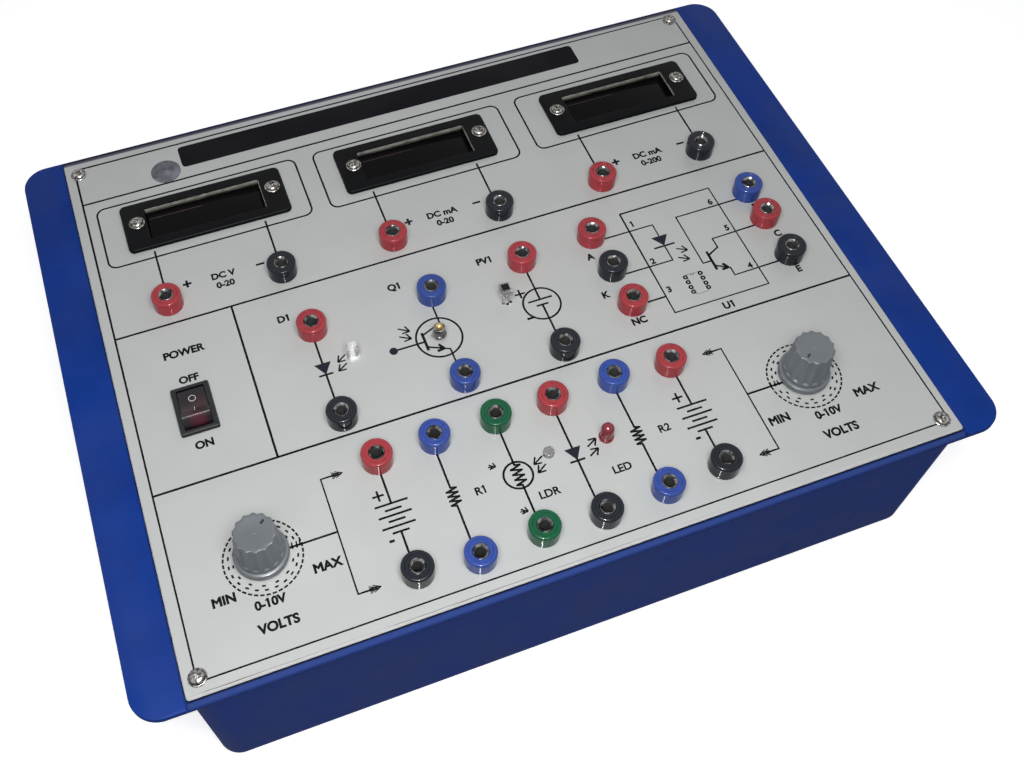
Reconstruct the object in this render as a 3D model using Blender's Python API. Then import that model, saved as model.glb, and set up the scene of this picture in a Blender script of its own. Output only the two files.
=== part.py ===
"""Optoelectronics trainer: a low moulded case with two grab wings, a printed instrument panel
with three digital meters, a lit rocker switch, two control knobs, thirty 4 mm sockets and the
light-sensing parts that are studied. Metres, +Z up, front edge towards -Y."""

import math

import bmesh
import bpy

MM = 0.001

# Fits shared by all pieces
SEAT_GAP = 0.3 * MM
CUT_OVERRUN = 2.0 * MM

# Front panel
PANEL_WIDTH = 300.0 * MM
PANEL_DEPTH = 250.0 * MM
PANEL_THICKNESS = 2.0 * MM
PANEL_CORNER = 1.2 * MM
PANEL_EDGE = 0.3 * MM
PANEL_PROUD = 1.2 * MM

# Case rim with its wings
RIM_THICKNESS = 3.0 * MM
RIM_CORNER = 10.5 * MM
RIM_EDGE = 0.5 * MM
WING_REACH = 18.3 * MM
LIP_REACH = 2.6 * MM
LIP_LAND = 0.4 * MM
LIP_SIDE = 0.3 * MM
RIM_LEDGE = 4.0 * MM
RIM_OPENING_CORNER = 14.0 * MM

# Case body and bottom cover
CASE_HEIGHT = 73.0 * MM
BODY_SIDE_REACH = 0.8 * MM
BODY_FRONT_REACH = 1.7 * MM
BODY_CORNER = 8.8 * MM
BODY_DRAFT = 0.9 * MM
BODY_WALL = 3.0 * MM
COVER_THICKNESS = 3.0 * MM
COVER_LEDGE_REACH = 2.0 * MM
COVER_LEDGE_HEIGHT = 3.0 * MM
POST_DIAMETER = 10.0 * MM
POST_BITE = 2.4 * MM

# Rubber feet
FOOT_DIAMETER = 14.0 * MM
FOOT_HEIGHT = 3.0 * MM
FOOT_TAPER = 0.9 * MM
FOOT_INSET_X = 24.0 * MM
FOOT_INSET_Y = 22.0 * MM

# Panel meters, from the window outwards
WINDOW_WIDTH = 50.4 * MM
WINDOW_DEPTH = 16.9 * MM
WINDOW_CORNER = 0.8 * MM
WINDOW_RECESS = 2.8 * MM
PANE_THICKNESS = 1.5 * MM
DISPLAY_MARGIN = 1.6 * MM
DISPLAY_HEIGHT = 6.0 * MM
METER_SIDE_WALL = 6.8 * MM
METER_FRONT_WALL = 2.5 * MM
METER_BASE = 11.0 * MM
METER_BODY_CORNER = 1.5 * MM
METER_SIDE_FLANGE = 3.1 * MM
METER_FRONT_FLANGE = 1.9 * MM
METER_BEZEL = 1.8 * MM
METER_CORNER = 2.5 * MM
METER_EDGE = 0.5 * MM

# Rocker, about its pivot axis
ROCKER_WIDTH = 10.4 * MM
ROCKER_LENGTH = 14.6 * MM
ROCKER_CREST = 5.2 * MM
ROCKER_DISH = 1.5 * MM
ROCKER_FOOT_LENGTH = 17.2 * MM
ROCKER_BELLY = 3.2 * MM
ROCKER_BELLY_LENGTH = 8.6 * MM
ROCKER_END_STEPS = 2
ROCKER_THROW = math.radians(34.0)
ROCKER_PIN_DIAMETER = 2.0 * MM
ROCKER_PIN_REACH = 0.6 * MM
ROCKER_SIDE_GAP = 0.3 * MM
ROCKER_END_GAP = 0.35 * MM

# Switch frame, from the rocker outwards
SWITCH_AXIS_DROP = 3.1 * MM
SWITCH_SIDE_WALL = 1.0 * MM
SWITCH_END_WALL = 0.6 * MM
SWITCH_SIDE_FLANGE = 1.0 * MM
SWITCH_END_FLANGE = 1.0 * MM
SWITCH_BASE = 8.0 * MM
SWITCH_BEZEL = 1.8 * MM
SWITCH_BEZEL_STEP = 0.7 * MM
SWITCH_BEVEL = 0.7 * MM
SWITCH_CORNER = 0.8 * MM
WELL_CORNER = 0.3 * MM
TERMINAL_WIDTH = 4.8 * MM
TERMINAL_THICKNESS = 0.8 * MM
TERMINAL_LENGTH = 7.0 * MM
TERMINAL_EMBED = 0.8 * MM
TERMINAL_PITCH = 6.0 * MM

# Potentiometers
POT_SHAFT_DIAMETER = 6.0 * MM
POT_SHAFT_REACH = 10.6 * MM
POT_BUSHING_WALL = 0.5 * MM
POT_NUT_WALL = 1.5 * MM
POT_NUT_HEIGHT = 2.0 * MM
POT_THREAD_REACH = 1.1 * MM
POT_BODY_DIAMETER = 16.0 * MM
POT_BODY_HEIGHT = 9.0 * MM

# Knobs
KNOB_LIFT = 0.8 * MM
KNOB_ROOF = 4.9 * MM
KNOB_SKIRT_DIAMETER = 20.0 * MM
KNOB_SKIRT_HEIGHT = 2.6 * MM
KNOB_WAIST_INSET = 1.2 * MM
KNOB_WAIST_HEIGHT = 1.2 * MM
KNOB_GRIP_TAPER = 1.0 * MM
KNOB_CAP_BEVEL = 0.5 * MM
KNOB_CAP_HEIGHT = 0.6 * MM
KNOB_FLUTES = 14
KNOB_FLUTE_DEPTH = 0.75 * MM
KNOB_FLUTE_STEPS = 4
KNOB_ROOM_MARGIN = 0.7 * MM
KNOB_LEFT_POINTER = math.radians(41.0)
KNOB_RIGHT_POINTER = math.radians(212.0)

# Sockets, from the bore outwards
SOCKET_BORE = 4.0 * MM
SOCKET_BORE_DEPTH = 16.0 * MM
SOCKET_TUBE_WALL = 1.7 * MM
SOCKET_TAIL = 5.0 * MM
SOCKET_HEAD_REACH = 2.3 * MM
SOCKET_HEAD_HEIGHT = 7.0 * MM
SOCKET_HEAD_EDGE = 0.5 * MM

# Light-sensing and light-giving parts
LEG_WIDTH = 0.6 * MM
LEG_CLEARANCE = 0.3 * MM
LEG_DEPTH = 6.0 * MM
LEG_EMBED = 0.8 * MM
LAMP_DIAMETER = 5.0 * MM
LAMP_FLANGE_REACH = 0.4 * MM
LAMP_FLANGE_HEIGHT = 1.0 * MM
LAMP_HEIGHT = 8.7 * MM
LAMP_LEG_PITCH = 2.54 * MM
CAN_STANDOFF = 2.2 * MM
CAN_DIAMETER = 4.7 * MM
CAN_RIM_REACH = 0.45 * MM
CAN_RIM_HEIGHT = 0.5 * MM
CAN_WALL_HEIGHT = 3.8 * MM
CAN_ROOF_EDGE = 0.3 * MM
CAN_LENS_HEIGHT = 2.1 * MM
CAN_LEG_PITCH = 2.54 * MM
CELL_WIDTH = 4.3 * MM
CELL_DEPTH = 5.4 * MM
CELL_THICKNESS = 3.2 * MM
CELL_CORNER = 0.4 * MM
CELL_DRAFT = 0.2 * MM
CELL_STANDOFF = 5.2 * MM
LDR_WIDTH = 4.9 * MM
LDR_DEPTH = 4.2 * MM
LDR_CORNER = 2.0 * MM
LDR_HEIGHT = 2.2 * MM
LDR_EDGE = 0.3 * MM
LDR_LEG_PITCH = 3.2 * MM

# Mains inlet in the rear wall, from the mouth outwards
INLET_MOUTH_WIDTH = 24.2 * MM
INLET_MOUTH_HEIGHT = 16.6 * MM
INLET_MOUTH_CORNER = 3.4 * MM
INLET_MOUTH_DEPTH = 19.0 * MM
INLET_WALL = 1.3 * MM
INLET_FLOOR = 4.5 * MM
INLET_CORNER = 3.0 * MM
INLET_FLANGE_REACH = 2.1 * MM
INLET_FLANGE_THICKNESS = 1.8 * MM
INLET_FLANGE_EDGE = 0.4 * MM
INLET_PIN_WIDTH = 4.0 * MM
INLET_PIN_THICKNESS = 2.0 * MM
INLET_PIN_SET_BACK = 5.5 * MM
INLET_PIN_EMBED = 1.0 * MM
INLET_PIN_PITCH = 7.0 * MM
INLET_EARTH_RISE = 2.0 * MM
INLET_CENTRE_HEIGHT = 36.0 * MM
INLET_POCKET_DEPTH = 0.4 * MM

# Roundness of the meshes
CORNER_STEPS = 3
ROUND_SIDES = 16
HOLE_SIDES = 10
SMALL_SIDES = 6
DOME_RINGS = 3
NUT_SIDES = 12
SMOOTH_ANGLE = math.radians(35.0)

# Heights above the surface that the feet stand on
CASE_BOTTOM = FOOT_HEIGHT + SEAT_GAP
COVER_TOP = CASE_BOTTOM + COVER_THICKNESS
PANEL_TOP = CASE_BOTTOM + CASE_HEIGHT
PANEL_UNDERSIDE = PANEL_TOP - PANEL_THICKNESS
RIM_TOP = PANEL_TOP - PANEL_PROUD
RIM_SEAT = PANEL_UNDERSIDE - SEAT_GAP
RIM_UNDERSIDE = RIM_TOP - RIM_THICKNESS
BODY_TOP = RIM_UNDERSIDE - SEAT_GAP
FITTING_SEAT = PANEL_TOP + SEAT_GAP

# Outer sizes that follow the panel
RIM_WIDTH = PANEL_WIDTH + 2 * WING_REACH
RIM_DEPTH = PANEL_DEPTH + 2 * LIP_REACH
BODY_WIDTH = PANEL_WIDTH + 2 * BODY_SIDE_REACH
BODY_DEPTH = PANEL_DEPTH + 2 * BODY_FRONT_REACH
BODY_BASE_WIDTH = BODY_WIDTH - 2 * BODY_DRAFT
BODY_BASE_DEPTH = BODY_DEPTH - 2 * BODY_DRAFT
CAVITY_WIDTH = BODY_BASE_WIDTH - 2 * BODY_WALL
CAVITY_DEPTH = BODY_BASE_DEPTH - 2 * BODY_WALL
CAVITY_CORNER = BODY_CORNER - BODY_DRAFT - BODY_WALL

# Outer sizes that follow the pieces inside
METER_BODY_WIDTH = WINDOW_WIDTH + 2 * METER_SIDE_WALL
METER_BODY_DEPTH = WINDOW_DEPTH + 2 * METER_FRONT_WALL
METER_WIDTH = METER_BODY_WIDTH + 2 * METER_SIDE_FLANGE
METER_DEPTH = METER_BODY_DEPTH + 2 * METER_FRONT_FLANGE
ROCKER_END_RADIUS = math.hypot(ROCKER_LENGTH / 2, ROCKER_CREST)
ROCKER_KEEL = math.hypot(ROCKER_BELLY_LENGTH / 2, ROCKER_BELLY)
WELL_WIDTH = ROCKER_WIDTH + 2 * ROCKER_SIDE_GAP
WELL_DEPTH = ROCKER_END_RADIUS + ROCKER_FOOT_LENGTH / 2 + 2 * ROCKER_END_GAP
SWITCH_BODY_WIDTH = WELL_WIDTH + 2 * SWITCH_SIDE_WALL
SWITCH_BODY_DEPTH = WELL_DEPTH + 2 * SWITCH_END_WALL
SWITCH_WIDTH = SWITCH_BODY_WIDTH + 2 * SWITCH_SIDE_FLANGE
SWITCH_DEPTH = SWITCH_BODY_DEPTH + 2 * SWITCH_END_FLANGE
POT_BUSHING_DIAMETER = POT_SHAFT_DIAMETER + 2 * POT_BUSHING_WALL
POT_NUT_FLATS = POT_BUSHING_DIAMETER + 2 * POT_NUT_WALL
POT_BUSHING_TOP = FITTING_SEAT + POT_NUT_HEIGHT + POT_THREAD_REACH
POT_SHAFT_TOP = POT_BUSHING_TOP + POT_SHAFT_REACH
SOCKET_BARREL_DIAMETER = SOCKET_BORE + 2 * SOCKET_TUBE_WALL
SOCKET_HEAD_DIAMETER = SOCKET_BARREL_DIAMETER + 2 * SOCKET_HEAD_REACH
LEG_HOLE_DIAMETER = math.hypot(LEG_WIDTH, LEG_WIDTH) + 2 * LEG_CLEARANCE
INLET_BODY_WIDTH = INLET_MOUTH_WIDTH + 2 * INLET_WALL
INLET_BODY_HEIGHT = INLET_MOUTH_HEIGHT + 2 * INLET_WALL
INLET_FLANGE_WIDTH = INLET_BODY_WIDTH + 2 * INLET_FLANGE_REACH
INLET_FLANGE_HEIGHT = INLET_BODY_HEIGHT + 2 * INLET_FLANGE_REACH

# Places on the panel, as shares of its half width and half depth
METER_SHARES = ((-0.643, 0.624), (-0.009, 0.624), (0.651, 0.630))
SWITCH_SHARES = (-0.817, -0.137)
LEFT_KNOB_SHARES = (-0.757, -0.667)
RIGHT_KNOB_SHARES = (0.695, -0.660)
PHOTODIODE_SHARES = (-0.391, -0.115)
PHOTOTRANSISTOR_SHARES = (-0.157, -0.139)
CELL_SHARES = (0.050, -0.076)
LDR_SHARES = (-0.018, -0.648)
LED_SHARES = (0.136, -0.655)
INLET_SHARE = -0.817

# Where the photovoltaic cell's legs leave it, as shares of its half width and half depth
CELL_LEG_SHARES = ((0.10, -0.84), (0.84, -0.62))

SOCKET_SHARES = {
    "socket_meter_1_red": (-0.811, 0.280),
    "socket_meter_1_black": (-0.493, 0.280),
    "socket_meter_2_red": (-0.172, 0.280),
    "socket_meter_2_black": (0.147, 0.280),
    "socket_meter_3_red": (0.467, 0.280),
    "socket_meter_3_black": (0.789, 0.294),
    "socket_photodiode_red": (-0.469, 0.022),
    "socket_photodiode_black": (-0.471, -0.320),
    "socket_phototransistor_upper_blue": (-0.133, 0.022),
    "socket_phototransistor_lower_blue": (-0.140, -0.320),
    "socket_photovoltaic_red": (0.139, 0.048),
    "socket_photovoltaic_black": (0.139, -0.320),
    "socket_coupler_1_red": (0.354, 0.063),
    "socket_coupler_2_black": (0.363, -0.089),
    "socket_coupler_3_red": (0.367, -0.237),
    "socket_coupler_4_black": (0.851, -0.229),
    "socket_coupler_5_red": (0.848, -0.062),
    "socket_coupler_6_blue": (0.845, 0.063),
    "socket_supply_left_red": (-0.425, -0.495),
    "socket_supply_left_black": (-0.425, -0.871),
    "socket_resistor_1_upper_blue": (-0.273, -0.490),
    "socket_resistor_1_lower_blue": (-0.275, -0.891),
    "socket_ldr_upper_green": (-0.109, -0.488),
    "socket_ldr_lower_green": (-0.109, -0.878),
    "socket_led_red": (0.046, -0.488),
    "socket_led_black": (0.049, -0.888),
    "socket_resistor_2_upper_blue": (0.219, -0.480),
    "socket_resistor_2_lower_blue": (0.217, -0.876),
    "socket_supply_right_red": (0.378, -0.488),
    "socket_supply_right_black": (0.377, -0.863),
}


def new_material(name, colour, roughness, metallic=0.0, alpha=1.0):
    """A Principled BSDF with the piece's own colour and finish."""
    material = bpy.data.materials.new(name)
    material.use_nodes = True
    shader = material.node_tree.nodes["Principled BSDF"]
    shader.inputs["Base Color"].default_value = (*colour, 1.0)
    shader.inputs["Roughness"].default_value = roughness
    shader.inputs["Metallic"].default_value = metallic
    shader.inputs["Alpha"].default_value = alpha
    return material


def rounded(width, depth, radius, steps=CORNER_STEPS, inset=0.0):
    """Outline of a rounded rectangle about the origin, counter-clockwise, set in on all sides."""
    width -= 2 * inset
    depth -= 2 * inset
    radius -= inset
    points = []
    for quarter, (side_x, side_y) in enumerate(((1, 1), (-1, 1), (-1, -1), (1, -1))):
        centre_x = side_x * (width / 2 - radius)
        centre_y = side_y * (depth / 2 - radius)
        for step in range(steps + 1):
            angle = (quarter + step / steps) * math.pi / 2
            points.append((centre_x + radius * math.cos(angle), centre_y + radius * math.sin(angle)))
    return points


def circle(diameter, sides=ROUND_SIDES):
    """Outline of a circle about the origin."""
    radius = diameter / 2
    turns = [2 * math.pi * side / sides for side in range(sides)]
    return [(radius * math.cos(turn), radius * math.sin(turn)) for turn in turns]


def hexagon(across_flats, sides=NUT_SIDES):
    """Outline of a hexagon that has as many points as the circles next to it."""
    points = []
    for side in range(sides):
        turn = 2 * math.pi * side / sides
        from_flat = (turn + math.pi / 6) % (math.pi / 3) - math.pi / 6
        radius = across_flats / 2 / math.cos(math.pi / 6 - abs(from_flat))
        points.append((radius * math.cos(turn), radius * math.sin(turn)))
    return points


def fluted(diameter, depth):
    """Outline of a knob's grip: wide scallops between narrow ridges."""
    count = KNOB_FLUTES * KNOB_FLUTE_STEPS
    points = []
    for step in range(count):
        turn = 2 * math.pi * step / count
        radius = diameter / 2 - depth * abs(math.sin(turn * KNOB_FLUTES / 2))
        points.append((radius * math.cos(turn), radius * math.sin(turn)))
    return points


def add_loft(shape, sections, ring=False, centre=(0.0, 0.0)):
    """Adds to a bmesh the skin over a run of (outline, height) sections, all with as many points.
    A ring closes from its last section back to its first, and any other run is capped."""
    loops = []
    for outline, height in sections:
        loops.append([shape.verts.new((centre[0] + x, centre[1] + y, height)) for x, y in outline])
    pairs = list(zip(loops, loops[1:]))
    if ring:
        pairs.append((loops[-1], loops[0]))
    for lower, upper in pairs:
        for index in range(len(lower)):
            after = (index + 1) % len(lower)
            shape.faces.new((lower[index], lower[after], upper[after], upper[index]))
    if not ring:
        shape.faces.new(list(reversed(loops[0])))
        shape.faces.new(loops[-1])


def add_prism(shape, outline, bottom, top, centre=(0.0, 0.0)):
    """Adds a straight prism to a bmesh."""
    add_loft(shape, ((outline, bottom), (outline, top)), centre=centre)


def finish(name, shape, material=None, place=(0.0, 0.0, 0.0), smooth=True):
    """Turns a bmesh into a named object with outward faces and its own material."""
    bmesh.ops.recalc_face_normals(shape, faces=shape.faces)
    mesh = bpy.data.meshes.new(name)
    shape.to_mesh(mesh)
    shape.free()
    piece = bpy.data.objects.new(name, mesh)
    piece.location = place
    bpy.context.scene.collection.objects.link(piece)
    if smooth:
        mesh.shade_smooth()
        mesh.set_sharp_from_angle(angle=SMOOTH_ANGLE)
    if material is not None:
        mesh.materials.append(material)
    return piece


def helper(name, shape, place=(0.0, 0.0, 0.0)):
    """A cutter or an added shape: it works through a Boolean and isn't drawn."""
    tool = finish(name, shape, place=place, smooth=False)
    tool.hide_render = True
    tool.display_type = "WIRE"
    return tool


def join_shape(piece, tool, operation="DIFFERENCE"):
    """Cuts the tool from the piece, or adds it."""
    change = piece.modifiers.new(tool.name, "BOOLEAN")
    change.operation = operation
    change.solver = "EXACT"
    change.object = tool


def on_panel(shares):
    """A place on the panel from its shares of the half width and half depth."""
    return (shares[0] * PANEL_WIDTH / 2, shares[1] * PANEL_DEPTH / 2)


def corners(width, depth, inset_x, inset_y):
    """The four places set in from a rectangle's corners, front left first."""
    half_x = width / 2 - inset_x
    half_y = depth / 2 - inset_y
    return ((-half_x, -half_y), (half_x, -half_y), (-half_x, half_y), (half_x, half_y))


for old in list(bpy.data.objects):
    bpy.data.objects.remove(old, do_unlink=True)

# Materials
case_blue = new_material("case_blue", (0.012, 0.055, 0.36), 0.42)
cover_blue = new_material("cover_blue", (0.010, 0.045, 0.30), 0.50)
foot_rubber = new_material("foot_rubber", (0.02, 0.02, 0.02), 0.85)
panel_grey = new_material("panel_grey", (0.58, 0.61, 0.60), 0.38)
meter_black = new_material("meter_black", (0.012, 0.012, 0.013), 0.30)
window_red = new_material("window_red", (0.05, 0.008, 0.008), 0.10, alpha=0.85)
display_dark = new_material("display_dark", (0.03, 0.012, 0.012), 0.35)
switch_black = new_material("switch_black", (0.015, 0.015, 0.016), 0.35)
rocker_red = new_material("rocker_red", (0.18, 0.008, 0.010), 0.22)
pot_metal = new_material("pot_metal", (0.60, 0.58, 0.53), 0.35, metallic=1.0)
knob_grey = new_material("knob_grey", (0.20, 0.22, 0.24), 0.45)
socket_colours = {
    "red": new_material("socket_red", (0.55, 0.012, 0.018), 0.25),
    "black": new_material("socket_black", (0.010, 0.011, 0.013), 0.25),
    "blue": new_material("socket_blue", (0.012, 0.055, 0.48), 0.25),
    "green": new_material("socket_green", (0.004, 0.13, 0.045), 0.25),
}
clear_resin = new_material("clear_resin", (0.85, 0.88, 0.88), 0.08, alpha=0.5)
gold_can = new_material("gold_can", (0.80, 0.58, 0.22), 0.20, metallic=1.0)
cell_resin = new_material("cell_resin", (0.10, 0.10, 0.11), 0.12)
ldr_resin = new_material("ldr_resin", (0.42, 0.42, 0.42), 0.40)
led_red = new_material("led_red", (0.60, 0.015, 0.03), 0.18)
inlet_black = new_material("inlet_black", (0.014, 0.014, 0.015), 0.45)

# Case rim: one flange frame, drawn out at both sides into the grab wings
rim_outline = rounded(RIM_WIDTH, RIM_DEPTH, RIM_CORNER)
rim_edge = rounded(RIM_WIDTH, RIM_DEPTH, RIM_CORNER, inset=RIM_EDGE)
panel_pocket = rounded(PANEL_WIDTH, PANEL_DEPTH, PANEL_CORNER, inset=-SEAT_GAP)
rim_opening = rounded(PANEL_WIDTH - 2 * RIM_LEDGE, PANEL_DEPTH - 2 * RIM_LEDGE, RIM_OPENING_CORNER)
shape = bmesh.new()
add_loft(
    shape,
    (
        (rim_edge, RIM_UNDERSIDE),
        (rim_outline, RIM_UNDERSIDE + RIM_EDGE),
        (rim_outline, RIM_TOP - RIM_EDGE),
        (rim_edge, RIM_TOP),
        (panel_pocket, RIM_TOP),
        (panel_pocket, RIM_SEAT),
        (rim_opening, RIM_SEAT),
        (rim_opening, RIM_UNDERSIDE),
    ),
    ring=True,
)
case_rim = finish("case_rim", shape, case_blue)

# The lip slopes down along the front, between the wings, and stays flat along the back
lip_run = LIP_REACH - SEAT_GAP - LIP_LAND
lip_drop = RIM_THICKNESS - RIM_EDGE - LIP_SIDE
lip_inner = lip_run - RIM_DEPTH / 2
lip_outer = -lip_run - RIM_DEPTH / 2
profile = (
    (lip_inner, RIM_TOP),
    (lip_outer, RIM_TOP - 2 * lip_drop),
    (lip_outer, RIM_TOP + CUT_OVERRUN),
    (lip_inner, RIM_TOP + CUT_OVERRUN),
)
shape = bmesh.new()
ends = []
for end in (-BODY_WIDTH / 2, BODY_WIDTH / 2):
    ends.append([shape.verts.new((end, y, z)) for y, z in profile])
for index in range(len(profile)):
    after = (index + 1) % len(profile)
    shape.faces.new((ends[0][index], ends[0][after], ends[1][after], ends[1][index]))
shape.faces.new(list(reversed(ends[0])))
shape.faces.new(ends[1])
join_shape(case_rim, helper("cut_lip_bevel", shape))

# Case body: drafted walls, open above and below, with an inner ledge over the bottom cover
cavity_outline = rounded(CAVITY_WIDTH, CAVITY_DEPTH, CAVITY_CORNER)
cover_ledge = rounded(CAVITY_WIDTH, CAVITY_DEPTH, CAVITY_CORNER, inset=COVER_LEDGE_REACH)
shape = bmesh.new()
add_loft(
    shape,
    (
        (rounded(BODY_BASE_WIDTH, BODY_BASE_DEPTH, BODY_CORNER - BODY_DRAFT), CASE_BOTTOM),
        (rounded(BODY_WIDTH, BODY_DEPTH, BODY_CORNER), BODY_TOP),
        (cavity_outline, BODY_TOP),
        (cavity_outline, COVER_TOP + SEAT_GAP + COVER_LEDGE_HEIGHT),
        (cover_ledge, COVER_TOP + SEAT_GAP),
        (cavity_outline, COVER_TOP + SEAT_GAP),
        (cavity_outline, CASE_BOTTOM),
    ),
    ring=True,
)
case_body = finish("case_body", shape, case_blue)

# Screw posts in its corners, under the panel's four screws
shape = bmesh.new()
post_set = POST_DIAMETER / 2 - POST_BITE
for place in corners(CAVITY_WIDTH, CAVITY_DEPTH, post_set, post_set):
    add_prism(shape, circle(POST_DIAMETER), COVER_TOP + SEAT_GAP, BODY_TOP - SEAT_GAP, centre=place)
join_shape(case_body, helper("add_screw_posts", shape), "UNION")

# Cut-out and flat pocket for the mains inlet in the rear wall
inlet_x = INLET_SHARE * PANEL_WIDTH / 2
inlet_z = CASE_BOTTOM + INLET_CENTRE_HEIGHT
pocket_y = BODY_BASE_DEPTH / 2 - INLET_POCKET_DEPTH
shape = bmesh.new()
add_prism(
    shape,
    rounded(INLET_BODY_WIDTH, INLET_BODY_HEIGHT, INLET_CORNER, inset=-SEAT_GAP),
    -BODY_WALL - BODY_DRAFT - CUT_OVERRUN,
    CUT_OVERRUN,
)
cut_inlet = helper("cut_inlet_body", shape, place=(inlet_x, pocket_y, inlet_z))
cut_inlet.rotation_euler.x = -math.pi / 2
join_shape(case_body, cut_inlet)
shape = bmesh.new()
add_prism(
    shape,
    rounded(INLET_FLANGE_WIDTH, INLET_FLANGE_HEIGHT, INLET_CORNER, inset=-SEAT_GAP),
    0.0,
    BODY_DRAFT + INLET_POCKET_DEPTH + CUT_OVERRUN,
)
cut_pocket = helper("cut_inlet_pocket", shape, place=(inlet_x, pocket_y, inlet_z))
cut_pocket.rotation_euler.x = -math.pi / 2
join_shape(case_body, cut_pocket)

# Bottom cover, let into the walls from below
shape = bmesh.new()
add_prism(
    shape,
    rounded(CAVITY_WIDTH, CAVITY_DEPTH, CAVITY_CORNER, inset=SEAT_GAP),
    CASE_BOTTOM,
    COVER_TOP,
)
finish("base_cover", shape, cover_blue)

# Rubber feet under the cover
FOOT_NAMES = ("foot_front_left", "foot_front_right", "foot_rear_left", "foot_rear_right")
shape = bmesh.new()
add_loft(
    shape,
    (
        (circle(FOOT_DIAMETER - 2 * FOOT_TAPER), 0.0),
        (circle(FOOT_DIAMETER), FOOT_TAPER),
        (circle(FOOT_DIAMETER), FOOT_HEIGHT),
    ),
)
foot = finish(FOOT_NAMES[0], shape, foot_rubber)
for name, place in zip(FOOT_NAMES, corners(PANEL_WIDTH, PANEL_DEPTH, FOOT_INSET_X, FOOT_INSET_Y)):
    if name != foot.name:
        bpy.context.scene.collection.objects.link(bpy.data.objects.new(name, foot.data))
    bpy.data.objects[name].location = (*place, 0.0)

# Front panel
panel_outline = rounded(PANEL_WIDTH, PANEL_DEPTH, PANEL_CORNER)
shape = bmesh.new()
add_loft(
    shape,
    (
        (panel_outline, PANEL_UNDERSIDE),
        (panel_outline, PANEL_TOP - PANEL_EDGE),
        (rounded(PANEL_WIDTH, PANEL_DEPTH, PANEL_CORNER, inset=PANEL_EDGE), PANEL_TOP),
    ),
)
front_panel = finish("front_panel", shape, panel_grey)


def leg_row(pitch):
    """Two legs side by side."""
    return ((-pitch / 2, 0.0), (pitch / 2, 0.0))


def leg_ring(pitch, count):
    """Legs spaced evenly round a circle, one of them at the back."""
    turns = [2 * math.pi * leg / count + math.pi / 2 for leg in range(count)]
    return [(pitch / 2 * math.cos(turn), pitch / 2 * math.sin(turn)) for turn in turns]


LAMP_LEGS = leg_row(LAMP_LEG_PITCH)
CAN_LEGS = leg_ring(CAN_LEG_PITCH, 3)
CELL_LEGS = [(share_x * CELL_WIDTH / 2, share_y * CELL_DEPTH / 2) for share_x, share_y in CELL_LEG_SHARES]
LDR_LEGS = leg_row(LDR_LEG_PITCH)
LEGGED_PARTS = (
    (PHOTODIODE_SHARES, LAMP_LEGS),
    (PHOTOTRANSISTOR_SHARES, CAN_LEGS),
    (CELL_SHARES, CELL_LEGS),
    (LDR_SHARES, LDR_LEGS),
    (LED_SHARES, LAMP_LEGS),
)
cut_bottom = PANEL_UNDERSIDE - CUT_OVERRUN
cut_top = PANEL_TOP + CUT_OVERRUN
shape = bmesh.new()
for shares in SOCKET_SHARES.values():
    hole = circle(SOCKET_BARREL_DIAMETER + 2 * SEAT_GAP, HOLE_SIDES)
    add_prism(shape, hole, cut_bottom, cut_top, centre=on_panel(shares))
for shares in (LEFT_KNOB_SHARES, RIGHT_KNOB_SHARES):
    hole = circle(POT_BUSHING_DIAMETER + 2 * SEAT_GAP, HOLE_SIDES)
    add_prism(shape, hole, cut_bottom, cut_top, centre=on_panel(shares))
for shares in METER_SHARES:
    hole = rounded(METER_BODY_WIDTH, METER_BODY_DEPTH, METER_BODY_CORNER, inset=-SEAT_GAP)
    add_prism(shape, hole, cut_bottom, cut_top, centre=on_panel(shares))
hole = rounded(SWITCH_BODY_WIDTH, SWITCH_BODY_DEPTH, SWITCH_CORNER, inset=-SEAT_GAP)
add_prism(shape, hole, cut_bottom, cut_top, centre=on_panel(SWITCH_SHARES))
for shares, legs in LEGGED_PARTS:
    centre_x, centre_y = on_panel(shares)
    for leg_x, leg_y in legs:
        leg_place = (centre_x + leg_x, centre_y + leg_y)
        add_prism(shape, circle(LEG_HOLE_DIAMETER, SMALL_SIDES), cut_bottom, cut_top, centre=leg_place)
join_shape(front_panel, helper("cut_panel_openings", shape))

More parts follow.
